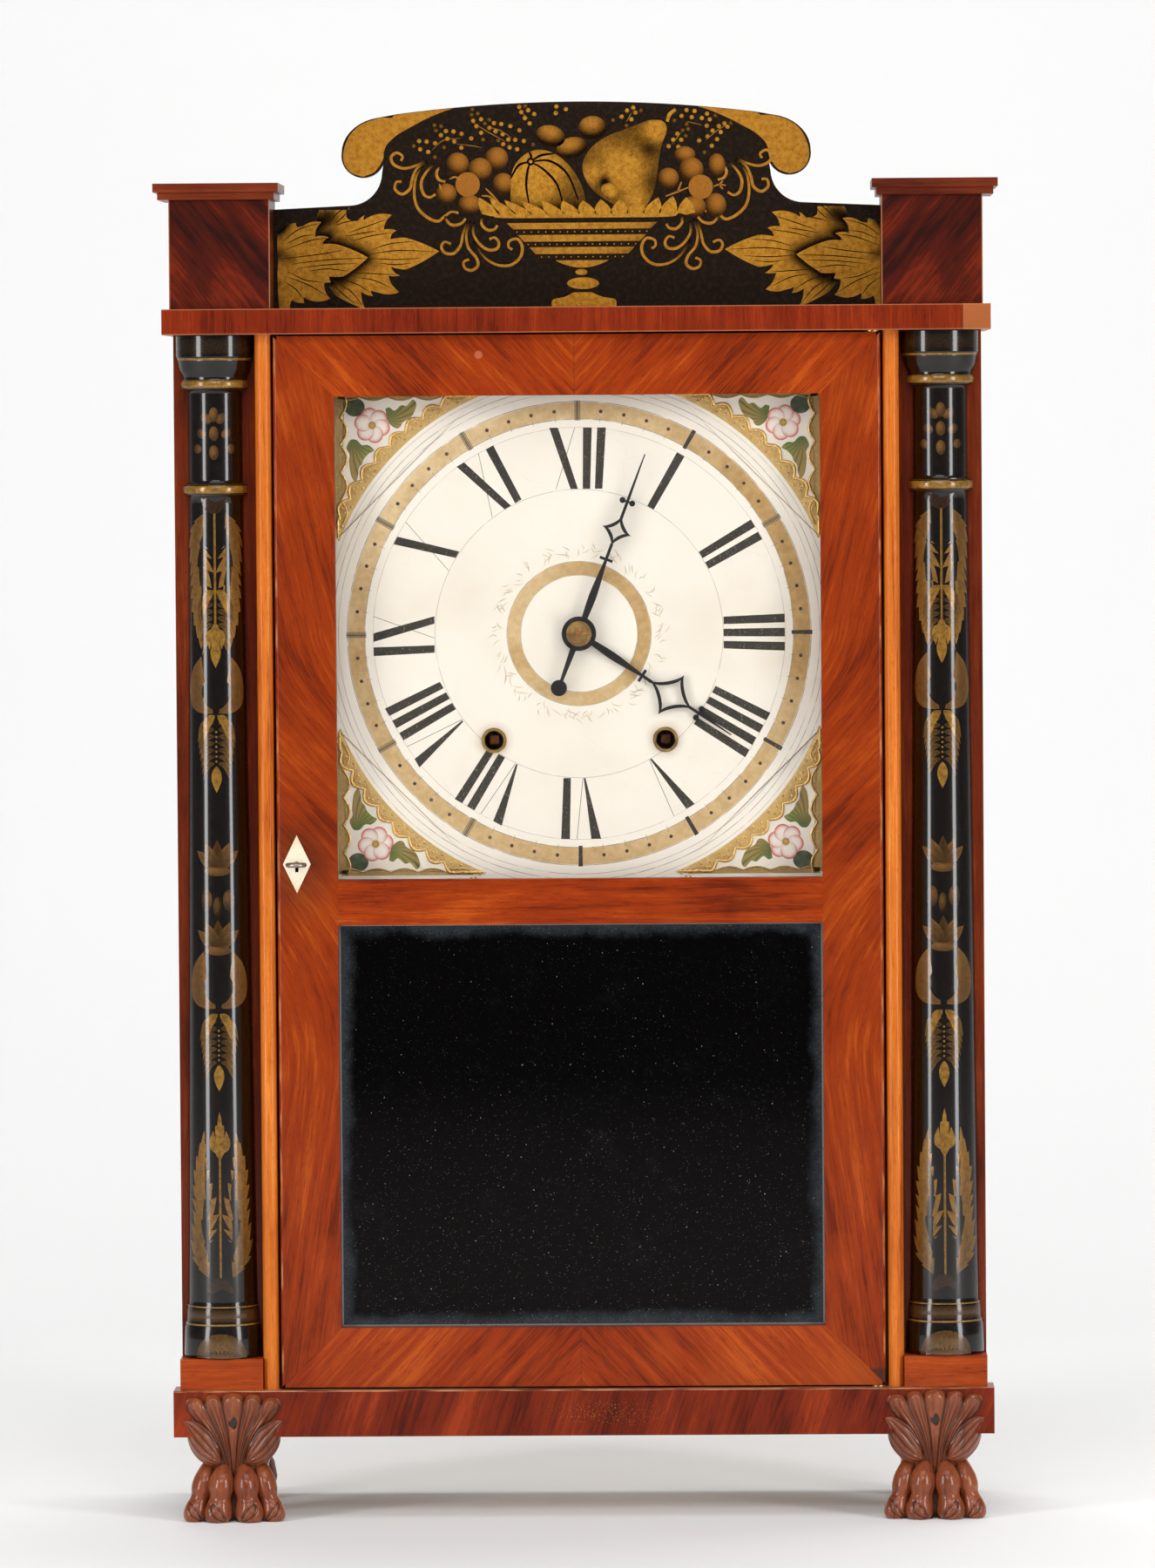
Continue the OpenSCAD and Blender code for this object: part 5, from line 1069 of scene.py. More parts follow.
def star(outline, centre, rows=12):
    """Rings that shrink from a closed outline to a centre."""
    edge = spline(outline + outline[:1], 80)
    return np.array(centre) + np.linspace(0.001, 1, rows)[:, None, None] * (edge[None] - np.array(centre))


MELON = [
    (-37.4, 50), (-37.6, 62.6), (-36.8, 71.7), (-33.3, 78.2), (-27.8, 82.4), (-21.4, 83.6), (-14, 81.4),
    (-6.7, 75.4), (-0.7, 66.2), (2, 57.1), (2, 50), (-18, 50)]
MELON_LIGHTS = [(-30, 70, 13, 0.5), (-17, 74, 10, 0.35), (-23, 58, 9, 0.25)]
melon = star(MELON, (-19, 64))
behind_rim = 1 - 0.75 * np.exp(-((melon[..., 1] - 50) / 5.5) ** 2)
lay(melon, powder_of(lit(melon, 0.34, MELON_LIGHTS) * behind_rim), 3.0)
pole = (-26.9, 77.4)
RIBS = [
    [(-33.3, 75.4), (-37.6, 68.5)], [(-28.5, 72.7), (-29.3, 64.4), (-27.8, 54.5)],
    [(-19.5, 72.7), (-13.1, 65.3), (-9.9, 55)], [(-16.8, 77.6), (-7.6, 70.8), (-1.7, 57)],
    [(-21.4, 80.6), (-14.4, 81.6)], [(-26.6, 80.2), (-27.8, 82.6)]]
for rib in RIBS:
    lay(*stroke([pole] + rib, 1.35, 30, tone=0.0, taper=0.55), 3.4)
lay(*disc(pole, 2.1, size=(4, 14), powder=(0.0, 0.0)), 3.5)
lay(*disc(pole, 0.95, size=(4, 12), powder=(0.9, 1.0)), 3.6)
PEAR_LEFT = [
    (23.5, 51), (14.3, 56), (6.1, 62.1), (1.7, 69), (0.6, 75.4), (2.9, 81.4), (7.9, 86.9), (15.3, 91.2),
    (23.5, 94.2), (30.9, 97), (36.4, 98.8), (41.9, 98.8)]
PEAR_RIGHT = [
    (32.7, 51), (36.4, 57), (38.9, 63.5), (40.2, 70.8), (41, 77.2), (41.9, 82.7), (43.2, 87.3),
    (44.4, 90.1), (45.2, 92.4), (45.4, 94.7), (44.6, 97), (42.8, 98.6)]
PEAR_LIGHTS = [
    (22.6, 72.7, 9.5, 0.75), (39.8, 93.5, 5.6, 0.7), (5, 70.5, 5, 0.45), (28.5, 57.5, 6, 0.4),
    (12, 84, 7, 0.15), (12.5, 66.5, 3.4, -0.45), (36, 84, 4.5, -0.18), (38, 66, 5, -0.12)]
pear = ruled(PEAR_LEFT, PEAR_RIGHT, (0, 0), 70, 21)[0]
lay(pear, powder_of(lit(pear, 0.34, PEAR_LIGHTS), 0.1), 3.1)
lay(*disc((15.3, 61.4), 5.2, 3.9, lit_at=(-0.1, 0.1), powder=(0.35, 1.0), turn=-0.5), 3.5)
lay(*stroke([(45.6, 98.0), (47.0, 101.8), (50.2, 104.4)], 2.0, 14, tone=0.95, taper=0.8), 3.2)
PLUMS = ((-16.3, 90.8, 7.9, 5.7, -0.25), (-4.9, 84.6, 8.4, 5.5, 0.2), (6.1, 95.1, 7.5, 6.2, 0))
for px, pz, rx, rz, turn in PLUMS:
    lay(*disc((px, pz), rx, rz, lit_at=(-0.1, 0.45), powder=(0.15, 0.85, 0.6), turn=turn), 1.6)
CHERRIES = [
    (-41.6, 65.8, 5.7, 5.7), (-45, 79.1, 6.2, 6.2), (-65.7, 76.5, 6, 6), (-53.9, 73.4, 6.4, 6.2),
    (-71.8, 60.7, 5.5, 5.5), (-59.5, 55, 6.2, 5), (-60.4, 65.5, 6.5, 6.5), (54.7, 80.5, 5.7, 4.4),
    (71.7, 74.7, 4.6, 6.2), (46, 67.9, 5.7, 5.7), (58.2, 72.5, 6.5, 6.5), (71, 53.6, 5.7, 6.4),
    (59.3, 52.9, 6.6, 5.5), (63.2, 63.3, 6.5, 6.5)]
for k, (px, pz, rx, rz) in enumerate(CHERRIES):
    powder = (0.75, 1.0, 0.9) if k in (6, 13) else (0.22, 0.85, 0.9)
    lay(*disc((px, pz), rx, rz, (0.15, 0.30), powder), 1.8 + 0.12 * (k % 7))
STALKS = [
    [(-51, 63.5), (-47.5, 60), (-44, 56)], [(-53, 59.5), (-49, 59), (-45.5, 56.5)],
    [(-70, 68.5), (-67, 69.5), (-64, 68)], [(-75.5, 66), (-74, 62)], [(44.5, 58.5), (50, 60.5), (56.5, 63)],
    [(51, 61), (53, 66)], [(70, 63.5), (73, 64.5), (76.5, 64)], [(73, 64.5), (75, 66.5)],
    [(73, 64.3), (75, 62)]]
for line in STALKS:
    lay(*stroke(line, 1.0, 14, tone=0.7, red=0.35, taper=0.6), 2.9)
SPRAYS = [  # places of the berries; those marked 0 have lost half their powder
    (-86, 88.7, 1), (-82, 88.4, 1), (-88.8, 86.1, 0), (-85.4, 84.4, 1), (-81.2, 82.9, 1), (-77.5, 87.5, 1),
    (-74.4, 91.7, 1), (-71.7, 93.9, 1), (-67.7, 93.6, 1), (-63.4, 92.4, 1), (-71, 89.8, 1),
    (-67.3, 88.3, 1), (-72.8, 85.3, 0), (-58.3, 89.9, 1), (-63.6, 85, 1), (-77.6, 80.2, 0),
    (-57.6, 105.3, 0), (-54.7, 103, 0), (-58, 102.4, 0), (-53, 100, 1), (-48.6, 99.7, 0), (-57.2, 99.2, 1),
    (-55.5, 96.3, 1), (-51, 97.7, 0), (-48.6, 95.4, 1), (-46.2, 97.9, 1), (-42.3, 97.4, 1),
    (-37.5, 96.3, 1), (-45.4, 93.5, 1), (-41.6, 92, 1), (-53, 92.8, 1), (-38.6, 89.2, 1), (-35, 89, 1),
    (-30.4, 88.3, 1), (-41.4, 86.7, 1), (-38, 85, 1), (-34, 84, 1), (-32.7, 94, 1), (-25.5, 86.4, 0),
    (-52, 89.2, 0), (-44, 88.7, 0), (-77.8, 97, 0), (-77, 94.2, 0), (-74.3, 96.5, 0), (-32.7, 106.4, 1),
    (-29.6, 106.8, 0), (-31.7, 103.6, 1), (-28, 104.6, 1), (-24.8, 102.5, 1), (-29.8, 100.4, 1),
    (-27.3, 97.6, 1), (-13, 106.4, 1), (-8, 105, 1), (-13.4, 102.9, 1), (24.4, 104, 1), (27.7, 105.5, 1),
    (31.8, 104, 0), (28.8, 102.9, 1), (21.5, 100.8, 1), (26.7, 99.3, 1), (17, 99, 0), (24, 96, 0),
    (56, 104, 1), (60.2, 103.5, 1), (53.3, 100.9, 1), (58.7, 100.2, 1), (64, 99.7, 1), (68.2, 99, 1),
    (66.8, 102, 1), (71.2, 100.9, 0), (56, 96.5, 0), (66.6, 95.6, 1), (51, 91.5, 1), (53.8, 93.3, 0),
    (56.8, 94, 0), (48.8, 88.4, 1), (53, 88.3, 1), (55.4, 90.4, 0), (46.3, 85, 1), (51.5, 84.6, 1),
    (73, 95.4, 1), (76, 96.8, 1), (77.6, 95, 1), (79.3, 97, 0), (69.7, 93, 1), (74, 92.2, 1), (67, 90, 1),
    (72, 88.5, 1), (62.5, 87.8, 1), (69.2, 85, 1), (65.3, 81.6, 0), (49.5, 98.5, 0)]
for cx, cz, full in SPRAYS:
    cz = min(cz, float(crown(cx + SLIP)) - 1.3)
    lay(*disc((cx, cz), 1.2, None, (0, 0), (0.45, 0.95, 0.1) if full else (0.2, 0.45, 0.1), (4, 12)), 1.1)
TWIGS = [
    [(-79, 84), (-73, 89), (-64, 90)], [(-66, 87), (-58, 86), (-53, 85)], [(-57, 98), (-49, 93), (-40, 88)],
    [(-50, 96), (-43, 94), (-37, 90)], [(-31, 103), (-28, 100)], [(24, 98), (27, 103)],
    [(48, 86), (53, 92)], [(56, 98), (64, 96)], [(66, 88), (72, 93), (77, 96)]]
for line in TWIGS:
    lay(*stroke(line, 0.4, 12, tone=0.6), 1.0)
TENDRILS = [
    [(-81.9, 78.6), (-87.4, 75.9), (-93.9, 74.3), (-99.4, 76.3), (-100.9, 80.2), (-98, 82.6), (-94.8, 80.7),
     (-95.7, 78.3)],
    [(-81.5, 77.4), (-87, 74.5), (-89.7, 69), (-91.1, 63.5), (-95.2, 60.7), (-98.9, 63.3), (-98.3, 67),
     (-95.5, 67.3)],
    [(-83.8, 75.9), (-87.7, 69.9), (-88.8, 60.7), (-87, 53.4), (-81.9, 48.3), (-76.4, 46.2), (-72.8, 48.8),
     (-69.1, 51.1), (-65.4, 50.5)],
    [(-72.8, 48.8), (-70.7, 45.3), (-67.7, 44), (-64, 45), (-61.6, 47.4)],
    [(-77.8, 76.8), (-82.7, 71.7), (-85.1, 66.2), (-83.8, 60.7), (-80.6, 58.9), (-77.5, 60.5)],
    [(-75, 75.4), (-76.9, 71.7), (-75.7, 68.3), (-72.3, 67)],
    [(-60.6, 46.5), (-63, 39.6), (-64.5, 33.2), (-68.2, 29.1), (-72.8, 29.5), (-74.6, 32.8), (-72.8, 35.2),
     (-69.5, 34.1)],
    [(-59, 46.5), (-61.3, 39.6), (-60.4, 32.3), (-56.2, 26.8), (-55.3, 22.7), (-58.5, 20.1), (-62.2, 21.3),
     (-62.8, 24.5), (-60.1, 25.9)],
    [(-57.2, 45.6), (-57.6, 39.6), (-54.4, 34.1), (-49.8, 30.9), (-45.2, 31.4), (-44.1, 34.6),
     (-46.2, 37.3), (-49.1, 36.5)],
    [(-57.6, 35.5), (-52.1, 27.2), (-45.2, 22.9), (-37.9, 22.7), (-32.8, 26.8), (-31.7, 32.3),
     (-34.2, 36.4), (-38.4, 35.5), (-39, 32.5), (-37, 30.9)],
    [(-53, 48.3), (-53, 44.2), (-49.8, 41.3), (-46.3, 41.8), (-44.8, 43.8)]]
for line in TENDRILS:
    lay_both(*stroke(line, 1.6, 8 * len(line), tone=0.80, taper=0.62, blob=0.2, red=0.35, fade=0.22), 1.3)
splat_paint.build("splat_stencil", splat_finish, "case", (), "black_lacquer")

# The board itself: the same lacquer with no powder in front, bare wood behind
board = Finish("splat_board", Coat_Roughness=0.18, Specular_IOR_Level=0.07)
x, y, z = board.place()
v = board.vector(x, y, z)
mottled = board.noise(v, 0.35, 5.0, 0.7)
grit = board.noise(v, 2.6, 2.0, 0.6)
black = board.mix((0.0085, 0.0050, 0.0030), (0.022, 0.012, 0.006), mottled.step(0.4, 0.8))
cloud, ribbon, fibre, pore = grain(board, x, z, y, 1.2)
bare = board.mix((0.17, 0.085, 0.036), (0.30, 0.165, 0.075), ribbon)
behind = y.step(-13.0, -12.2)
rubbed = z.step(746.0, 752.0) * grit.step(0.5, 0.6) * 0.35
board.set(Base_Color=board.mix(board.mix(black, (0.10, 0.05, 0.03), rubbed), bare, behind),
          Roughness=(mottled - 0.5) * 0.12 + 0.27 + behind * 0.4, Coat_Weight=0.14 - behind * 0.14)
board.bump(grit + fibre * behind, 0.06, 0.5)
dress(board, "splat")

# %% [markdown]
# The dial is a pine board under white lead that has yellowed and cracked. Its rings and
# pencil lines are circles, so they are best as a sum: distance from the centre, held
# against a few radii. The numerals, the dots and the flowers have shapes of their own,
# and lie on it as thin paint, like the stencil.

# %% Dial ground
DIAL_Z, DIAL_Y = 468.3, -33.0
MINUTE_RING, INNER_RING = 118.1, 34.6
HOLES = (45.5, -56.4)  # of the winding squares, sideways and up from the centre
CIRCLES = [  # pencil circles as radius, half width and softness, and their strength
    (((122.9, 0.10, 0.16), (113.5, 0.10, 0.16), (38.3, 0.06, 0.12), (30.9, 0.06, 0.12)), 0.75),
    (((109.2, 0.05, 0.12), (76.4, 0.07, 0.14)), 0.55),
    (((130.6, 0.12, 0.15), (127.6, 0.08, 0.12), (134.2, 0.07, 0.12)), 0.6)]
dial = Finish("dial_paint", Coat_Roughness=0.3)
x, y, z = dial.place()
v = dial.vector(x, y, z)
dz = z - DIAL_Z
wobble = (dial.noise(v, 0.02, 2.0) - 0.5) * 0.32
r = (x * x + dz * dz) ** 0.5 + wobble
stain = dial.noise(v, 0.012, 4.0, 0.6)
speck = dial.noise(v, 0.8, 3.0, 0.7).step(0.70, 0.78)
cream = dial.mix((0.850, 0.790, 0.690), (0.770, 0.690, 0.565), stain.step(0.48, 0.85))
# Darker towards the dial's edges: dirt, and painted shade from the door's recess.
edge_dirt_and_shade = abs(x).math("MAXIMUM", abs(dz)).step(112.0, 128.0)
cream = dial.mix(cream, (0.60, 0.52, 0.40), edge_dirt_and_shade * (stain * 0.18))
crack = dial.node("TexVoronoi", {"feature": "DISTANCE_TO_EDGE"}, Vector=dial.vector(x * 0.7, y, dz * 1.2),
                  Scale=0.045)
crack = crack.step(0.006, 0.0) * dial.noise(v, 0.03, 3.0).step(0.50, 0.62)
cream = dial.mix(cream, (0.50, 0.42, 0.30), crack * 0.22)
smudge = ((abs(x) - HOLES[0]) ** 2.0 + (dz - HOLES[1]) ** 2.0) ** 0.5
cream = dial.mix(cream, (0.42, 0.31, 0.17), smudge.step(12.0, 6.5) * (stain * 0.45 + 0.05))
gold_noise = dial.noise(v, 0.25, 5.0, 0.7)
faded = dial.noise(v, 0.016, 2.0, 0.5).step(0.42, 0.54)
# The gold is lighter towards the top and the left: painted light from above left, over faded patches that
# are wear; it is also a little lighter inside radius 60.
gold_paint = dial.mix(dial.mix((0.420, 0.225, 0.050), (0.575, 0.335, 0.090), gold_noise.step(0.3, 0.7)),
                      dial.mix((0.710, 0.475, 0.205), (0.815, 0.610, 0.335), gold_noise.step(0.3, 0.7)),
                      faded * 0.5 + (dz - x * 0.5).step(20.0, 130.0) * 0.7 + r.step(60.0, 50.0) * 0.2)
ring = r.near(MINUTE_RING, 4.3, 0.25) + r.near(INNER_RING, 3.4, 0.25)
ring = ring * (1.0 - dial.noise(v, 0.6, 4.0, 0.75).step(0.64, 0.72) * 0.55)
colour = dial.mix(cream, gold_paint, ring * 0.92)
pencil = sum(sum(r.near(*line) for line in lines) * strength for lines, strength in CIRCLES)
colour = dial.mix(colour, (0.055, 0.045, 0.035), pencil * dial.noise(v, 0.12, 3.0).step(0.25, 0.55))
colour = dial.mix(colour, (0.22, 0.16, 0.10), speck * 0.45)
inside = y.step(-32.6, -32.0)
colour = dial.mix(colour, (0.33, 0.19, 0.09), inside)
dial.set(Base_Color=colour, Metallic=ring * 0.25, Roughness=0.42 + inside * 0.35 - ring * 0.06,
         Coat_Weight=0.18 - inside * 0.18)
dial.bump(stain * 0.6 - crack * 0.6 + ring * 0.5, 0.10, 0.5)
dress(dial, "dial_board")

# %% [markdown]
# The numerals are Roman and stand with their feet to the centre. Every thick stroke was
# struck twice with a flat brush, so it is streaky, and every thin stroke is one pencil
# line. A bar is a four-cornered patch with a few rows, and the letters are lists of bars:
# an I is upright, a V leans one thick and one thin bar together, an X crosses them.

# %% Numerals
PAINT = 0.04  # how far the ink stands before the board
THICK, THIN, GAP = 4.6, 0.30, 1.9
STROKES = {"thick": (THICK * 0.86, THICK, 0.03), "wedge": (0.9, THICK + 0.6, 0.03),
           "thin": (THIN, THIN, 0.10)}
LETTERS = {"I": (5.6, [(0, 0, "thick")]), "V": (14.0, [(1.0, -4.6, "wedge"), (2.0, 5.6, "thin")]),
           "X": (16.0, [(5.2, -5.2, "thick"), (-6.0, 6.0, "thin")])}
HOURS = ["XII", "I", "II", "III", "IIII", "V", "VI", "VII", "VIII", "IX", "X", "XI"]
ink = Surface()


def on_dial(flat, lift):
    """Stand a flat patch before the dial by lift, a number or one for each point."""
    return np.stack([flat[..., 0], DIAL_Y - lift + 0 * flat[..., 0], DIAL_Z + flat[..., 1]], -1)


def clockwise(angle, radius, side=0.0):
    """The place at an angle from twelve and a radius, moved sideways along the circle."""
    c, s = np.cos(angle), np.sin(angle)
    return np.stack([radius * s + side * c, radius * c - side * s], -1)


def bar(degrees, x0, x1, w0, w1, r0=76.6, r1=109.0, shade=0.035):
    """A stroke from radius r0 (sideways x0, width w0) to r1 (sideways x1, width w1)."""
    t = np.linspace(0, 1, 12)[:, None]
    u = np.linspace(-0.5, 0.5, 5)[None]
    side = (x0 + (x1 - x0) * t) + u * (w0 + (w1 - w0) * t)
    flat = clockwise(math.radians(degrees), r0 + (r1 - r0) * t + 0 * u, side)
    ink.add(on_dial(flat, PAINT), (shade, shade * 0.75, shade * 0.5), front=True)


for hour, text in enumerate(HOURS):
    at = -(sum(LETTERS[letter][0] for letter in text) + GAP * (len(text) - 1)) / 2
    for letter in text:
        wide, strokes = LETTERS[letter]
        middle = at + wide / 2
        for low, high, kind in strokes:
            foot, head, shade = STROKES[kind]
            bar(hour * 30, (middle + low) * 0.86, middle + high, foot, head, shade=shade)
        at += wide + GAP
for minute in range(60):
    if minute % 5:
        flat, _ = disc(clockwise(math.radians(minute * 6), MINUTE_RING), 0.98, size=(3, 12))
        ink.add(on_dial(flat, PAINT), (0.045, 0.028, 0.018), front=True)
        bar(minute * 6, 0, 0, 0.16, 0.16, 112.2, 115.4, 0.12)
    elif minute in (5, 15, 20, 25, 30):
        bar(minute * 6, 0, 0, 2.0, 2.3, 112.6, 123.6)
    else:  # the others are rubbed down to four thin lines
        for shift, wide in ((-1.3, 0.45), (-0.35, 0.8), (0.5, 0.55), (1.3, 0.4)):
            bar(minute * 6, shift, shift, wide, wide, 112.8, 123.4, 0.09 + 0.05 * abs(shift))

# Faint sprays round the inner ring, small leaves set in curls
for k in range(60):
    a = k / 60 * 2 * math.pi + 0.05 * math.sin(k * 2.3)
    near = 39.4 + 2.6 * (0.5 + 0.5 * math.sin(k * 1.9))
    for m, (turn_by, long) in enumerate(((0.10, 4.2), (0.16, 2.8), (0.03, 3.4))):
        if (k * 3 + m) % 4 == 3:
            continue
        start = clockwise(a + 0.03 * m, near + 1.6 * m)
        tip = clockwise(a + turn_by * math.sin(k * 0.7 + m), near + 1.6 * m + long)
        middle = (start + tip) / 2 + clockwise(a, 0, 0.8 * math.sin(k * 1.3 + m))
        flat, _ = stroke([start, middle, tip], 0.55, 10, taper=0.1)
        ink.add(on_dial(flat, PAINT), (0.66, 0.55, 0.37) if (k + m) % 3 else (0.52, 0.45, 0.34), front=True)

ink_finish = Finish("dial_ink", Coat_Roughness=0.3)
x, y, z = ink_finish.place()
v = ink_finish.vector(x, y, z)
worn = (ink_finish.noise(v, 0.9, 4.0, 0.75).step(0.60, 0.68) * 0.50
        + ink_finish.noise(v, 2.8, 2.0).step(0.60, 0.72) * 0.14)
colour = ink_finish.mix(ink_finish.attribute("tone"), (0.72, 0.665, 0.54), worn)
ink_finish.set(Base_Color=colour, Roughness=worn * 0.1 + 0.4, Coat_Weight=0.15)
ink.build("dial_numerals", ink_finish, "case", (), "painted_dial")

# %% [markdown]
# In each corner of the dial sits a small garden: a pink flower with six petals and
# two broad green leaves, fenced by a raised border of gilded gesso. The border is a string
# of scallops squeezed on like icing, so it is made as a round cord laid in arcs, and a
# bed of gold between the two cords. One corner is worked out and mirrored into the rest.

# %% Corner flowers and gilt border
PINK, WHITE, YELLOW = (0.62, 0.075, 0.050), (0.88, 0.80, 0.71), (0.56, 0.33, 0.07)
LEAF, LEAF_LIGHT = (0.075, 0.125, 0.020), (0.250, 0.265, 0.040)
LEAF_BROWN, LEAF_DARK = (0.340, 0.205, 0.055), (0.030, 0.045, 0.020)
flowers = Surface()


def tint(factor, one, other):
    """Colour at each point between two colours."""
    f = np.asarray(factor, float)[..., None]
    return np.array(one) * (1 - f) + np.array(other) * f


def leaf(outline, centre, root, turn):
    """A painted leaf and its colours: dark green at its root, lighter further out and ochre on one
    side of the line that leaves the root at the angle turn. Dark lines fan out from the root."""
    flat = star(outline, centre, 22)
    away = flat - np.array(root)
    far = np.hypot(away[..., 0], away[..., 1])
    angle = (np.arctan2(away[..., 1], away[..., 0]) - turn + np.pi) % (2 * np.pi) - np.pi
    colour = tint((far / 13).clip(0, 1), LEAF, LEAF_LIGHT)
    colour = tint((0.5 + 0.5 * np.tanh(4 * angle)) * (far / 9).clip(0, 1) * 0.85, colour, LEAF_BROWN)
    lines = (0.5 + 0.5 * np.sin(27 * angle + 0.35 * far)) ** 4
    return flat, tint(lines * 0.75, colour, LEAF_DARK)


TOP_LEAF = [
    (101.7, 119.8), (99.5, 120.4), (96.9, 118.7), (93.4, 121.5), (90.4, 121.2), (87.4, 124.4),
    (85.5, 123.1), (85.5, 120.4), (87.9, 115.4), (92.3, 112.7), (94, 109.9), (96.5, 109.4), (99.5, 111.6),
    (100.9, 114.3)]
SIDE_LEAF = [
    (122.4, 100), (120.4, 103.3), (117.1, 103.3), (114.3, 100.6), (111, 100.6), (107.9, 97.8),
    (110.5, 96.2), (113.2, 93.4), (114.3, 90.7), (116, 88.5), (116.5, 84.6), (117.8, 81.3), (119.8, 83.5),
    (120.7, 87.4), (121.1, 92.3), (120.9, 95.6), (122.4, 98.4)]


def corner(mirror, turn):
    """Flower and leaves of one corner, drawn for the upper right and mirrored by two signs."""
    def lay_here(flat, colour, layer):
        flowers.add(on_dial(flat * mirror, 0.02 + 0.025 * layer), colour, front=True)

    fx, fz = 108.8, 111.0
    lay_here(*leaf(TOP_LEAF, (94.5, 116.0), (101.5, 113.5), 2.55), 1.3)
    lay_here(*leaf(SIDE_LEAF, (117.5, 96.0), (119.0, 103.0), -2.0), 1.3)
    flat, _ = disc((118.0, 120.6), 5.4, 4.9, size=(9, 30))
    shade = 0.5 + 0.5 * np.sin(np.linspace(0, 26, 30))[None] * np.linspace(0, 1, 9)[:, None]
    lay_here(flat, tint(shade, LEAF_DARK, (0.075, 0.105, 0.045)), 1.4)
    for cx, cz in ((97.5, 104.5), (101.5, 100.5), (95.5, 101.5)):
        for a in 3.6 + 0.42 * np.arange(4):
            curl = [(cx, cz), (cx + 1.6 * math.cos(a), cz + 1.8 * math.sin(a)),
                    (cx + 3.6 * math.cos(a + 0.2), cz + 3.6 * math.sin(a + 0.2))]
            lay_here(stroke(curl, 0.22, 10)[0], (0.42, 0.42, 0.38), 1.0)
    d = np.linspace(0.001, 1, 10)[:, None]
    way_round = circle(30)[None]
    rosy = (1.35 * (d**4.6) * (0.15 + 1.0 * (0.5 + 0.5 * np.cos(way_round)))).clip(0, 1)
    petal = tint(rosy, WHITE, PINK) * (1 - 0.10 * np.abs(np.sin(3 * way_round) * d)[..., None])
    for k in range(6):
        a = turn + k * 2 * math.pi / 6
        flat, _ = disc((fx + 4.9 * math.cos(a), fz + 4.9 * math.sin(a)), 4.7, 4.5, size=(10, 30), turn=a)
        lay_here(flat, petal, 2 + 0.4 * k)
    lay_here(disc((fx, fz), 2.2, size=(4, 14))[0], YELLOW, 5)
    for a in 0.9 * np.arange(7):
        flat, _ = disc((fx + 1.3 * math.cos(a), fz + 1.3 * math.sin(a)), 0.45, size=(3, 8))
        lay_here(flat, (0.30, 0.16, 0.04), 5.2)


MIRRORS = ((1, 1), (-1, 1), (1, -1), (-1, -1))
for n, mirror in enumerate(MIRRORS):
    corner(mirror, 0.3 + n)
paint = Finish("flower_paint", Coat_Roughness=0.3)
x, y, z = paint.place()
rubs = paint.noise(paint.vector(x, y, z), 1.3, 4.0, 0.7)
paint.set(Base_Color=paint.mix(paint.attribute("tone"), (0.74, 0.66, 0.52), rubs.step(0.62, 0.74) * 0.4),
          Roughness=rubs * 0.2 + 0.35, Coat_Weight=0.2)
paint.bump(rubs, 0.08, 0.5)
flowers.build("corner_flowers", paint, "case", (), "painted_dial")

gilt = Surface()


def cord(line, lift, radius, tone):
    """Lay a round cord along a flat line before the dial."""
    line = on_dial(line, lift)
    front = np.array([0.0, -1.0, 0.0])
    side = np.cross(heading(line), front)
    side /= np.maximum(np.linalg.norm(side, axis=1), 1e-9)[:, None]
    rings = swept(line, radius[:, None], side, front, circle(8, False)[None])
    gilt.add(rings, tone, round_v=True, caps=True, flip=True)


# Step that turns an upright border into a level one, line of the scallops, edge of the bed, rest and
# swell of the scallops, radius and tone of the cord
BORDERS = [
    (1, 128.0, 128.6, 2.3, 3.3, 0.62, 1.0), (-1, 127.0, 127.8, 0.9, 1.9, 0.4, 0.2)]
GRAINS = (  # radius and angle of the small grains on each scallop
    (140.8, -0.010), (139.6, 0.014), (142.0, 0.004), (138.0, -0.020))
for mirror in MIRRORS:
    a = np.linspace(math.radians(21.6), math.radians(68.6), 260)
    rim = clockwise(a, 1.0)
    wave = np.abs(np.sin((a - a[0]) / (a[-1] - a[0]) * np.pi * 10))
    v = np.linspace(0, 1, 7)[None, :, None]
    flat = rim[:, None] * (136.2 + v * (4.6 + 3.6 * wave)[:, None, None])
    swell = 0.5 * np.sin(np.pi * v[..., 0]) * (0.3 + 0.7 * wave[:, None])
    gilt.add(on_dial(np.minimum(flat, [127.6, 127.0]) * mirror, 0.04 + swell), 0.4, front=True)
    line = np.minimum(rim * (140.4 + 3.8 * wave)[:, None], [127.4, 126.4]) * mirror
    cord(line, 0.3, 0.72 + 0.15 * wave, 1.0)
    q, w = np.linspace(0.05, np.pi / 2, 4)[:, None], circle(9)[None]
    ball = 0.75 * np.stack([np.sin(q) * np.cos(w), np.sin(q) * np.sin(w)], -1)
    for k in range(10):
        b = a[0] + (a[-1] - a[0]) * (k + 0.5) / 10
        for out, off in GRAINS:
            gilt.add(on_dial(clockwise(b + off, out) * mirror + ball, 0.45 + 0.5 * np.cos(q)), 1.0,
                     front=True)
    t = np.linspace(57, 127.0, 200)
    flutes = np.abs(np.sin((t - 57) / 14.6 * np.pi))
    for step, half, bed, rest, swell, thick, tone in BORDERS:
        line = np.stack([half - rest - swell * flutes, t], -1)[:, ::step]
        edge = np.stack([np.full_like(t, bed), t], -1)[:, ::step]
        keep = np.hypot(line[:, 0], line[:, 1]) > 138.0
        line, edge = line[keep] * mirror, edge[keep] * mirror
        gilt.add(on_dial(edge[:, None] * (1 - v) + line[:, None] * v, 0.035), 0.15, front=True)
        cord(line, 0.25, np.full(len(line), thick), tone)
gold = Finish("gilt_gesso")
x, y, z = gold.place()
v = gold.vector(x, y, z)
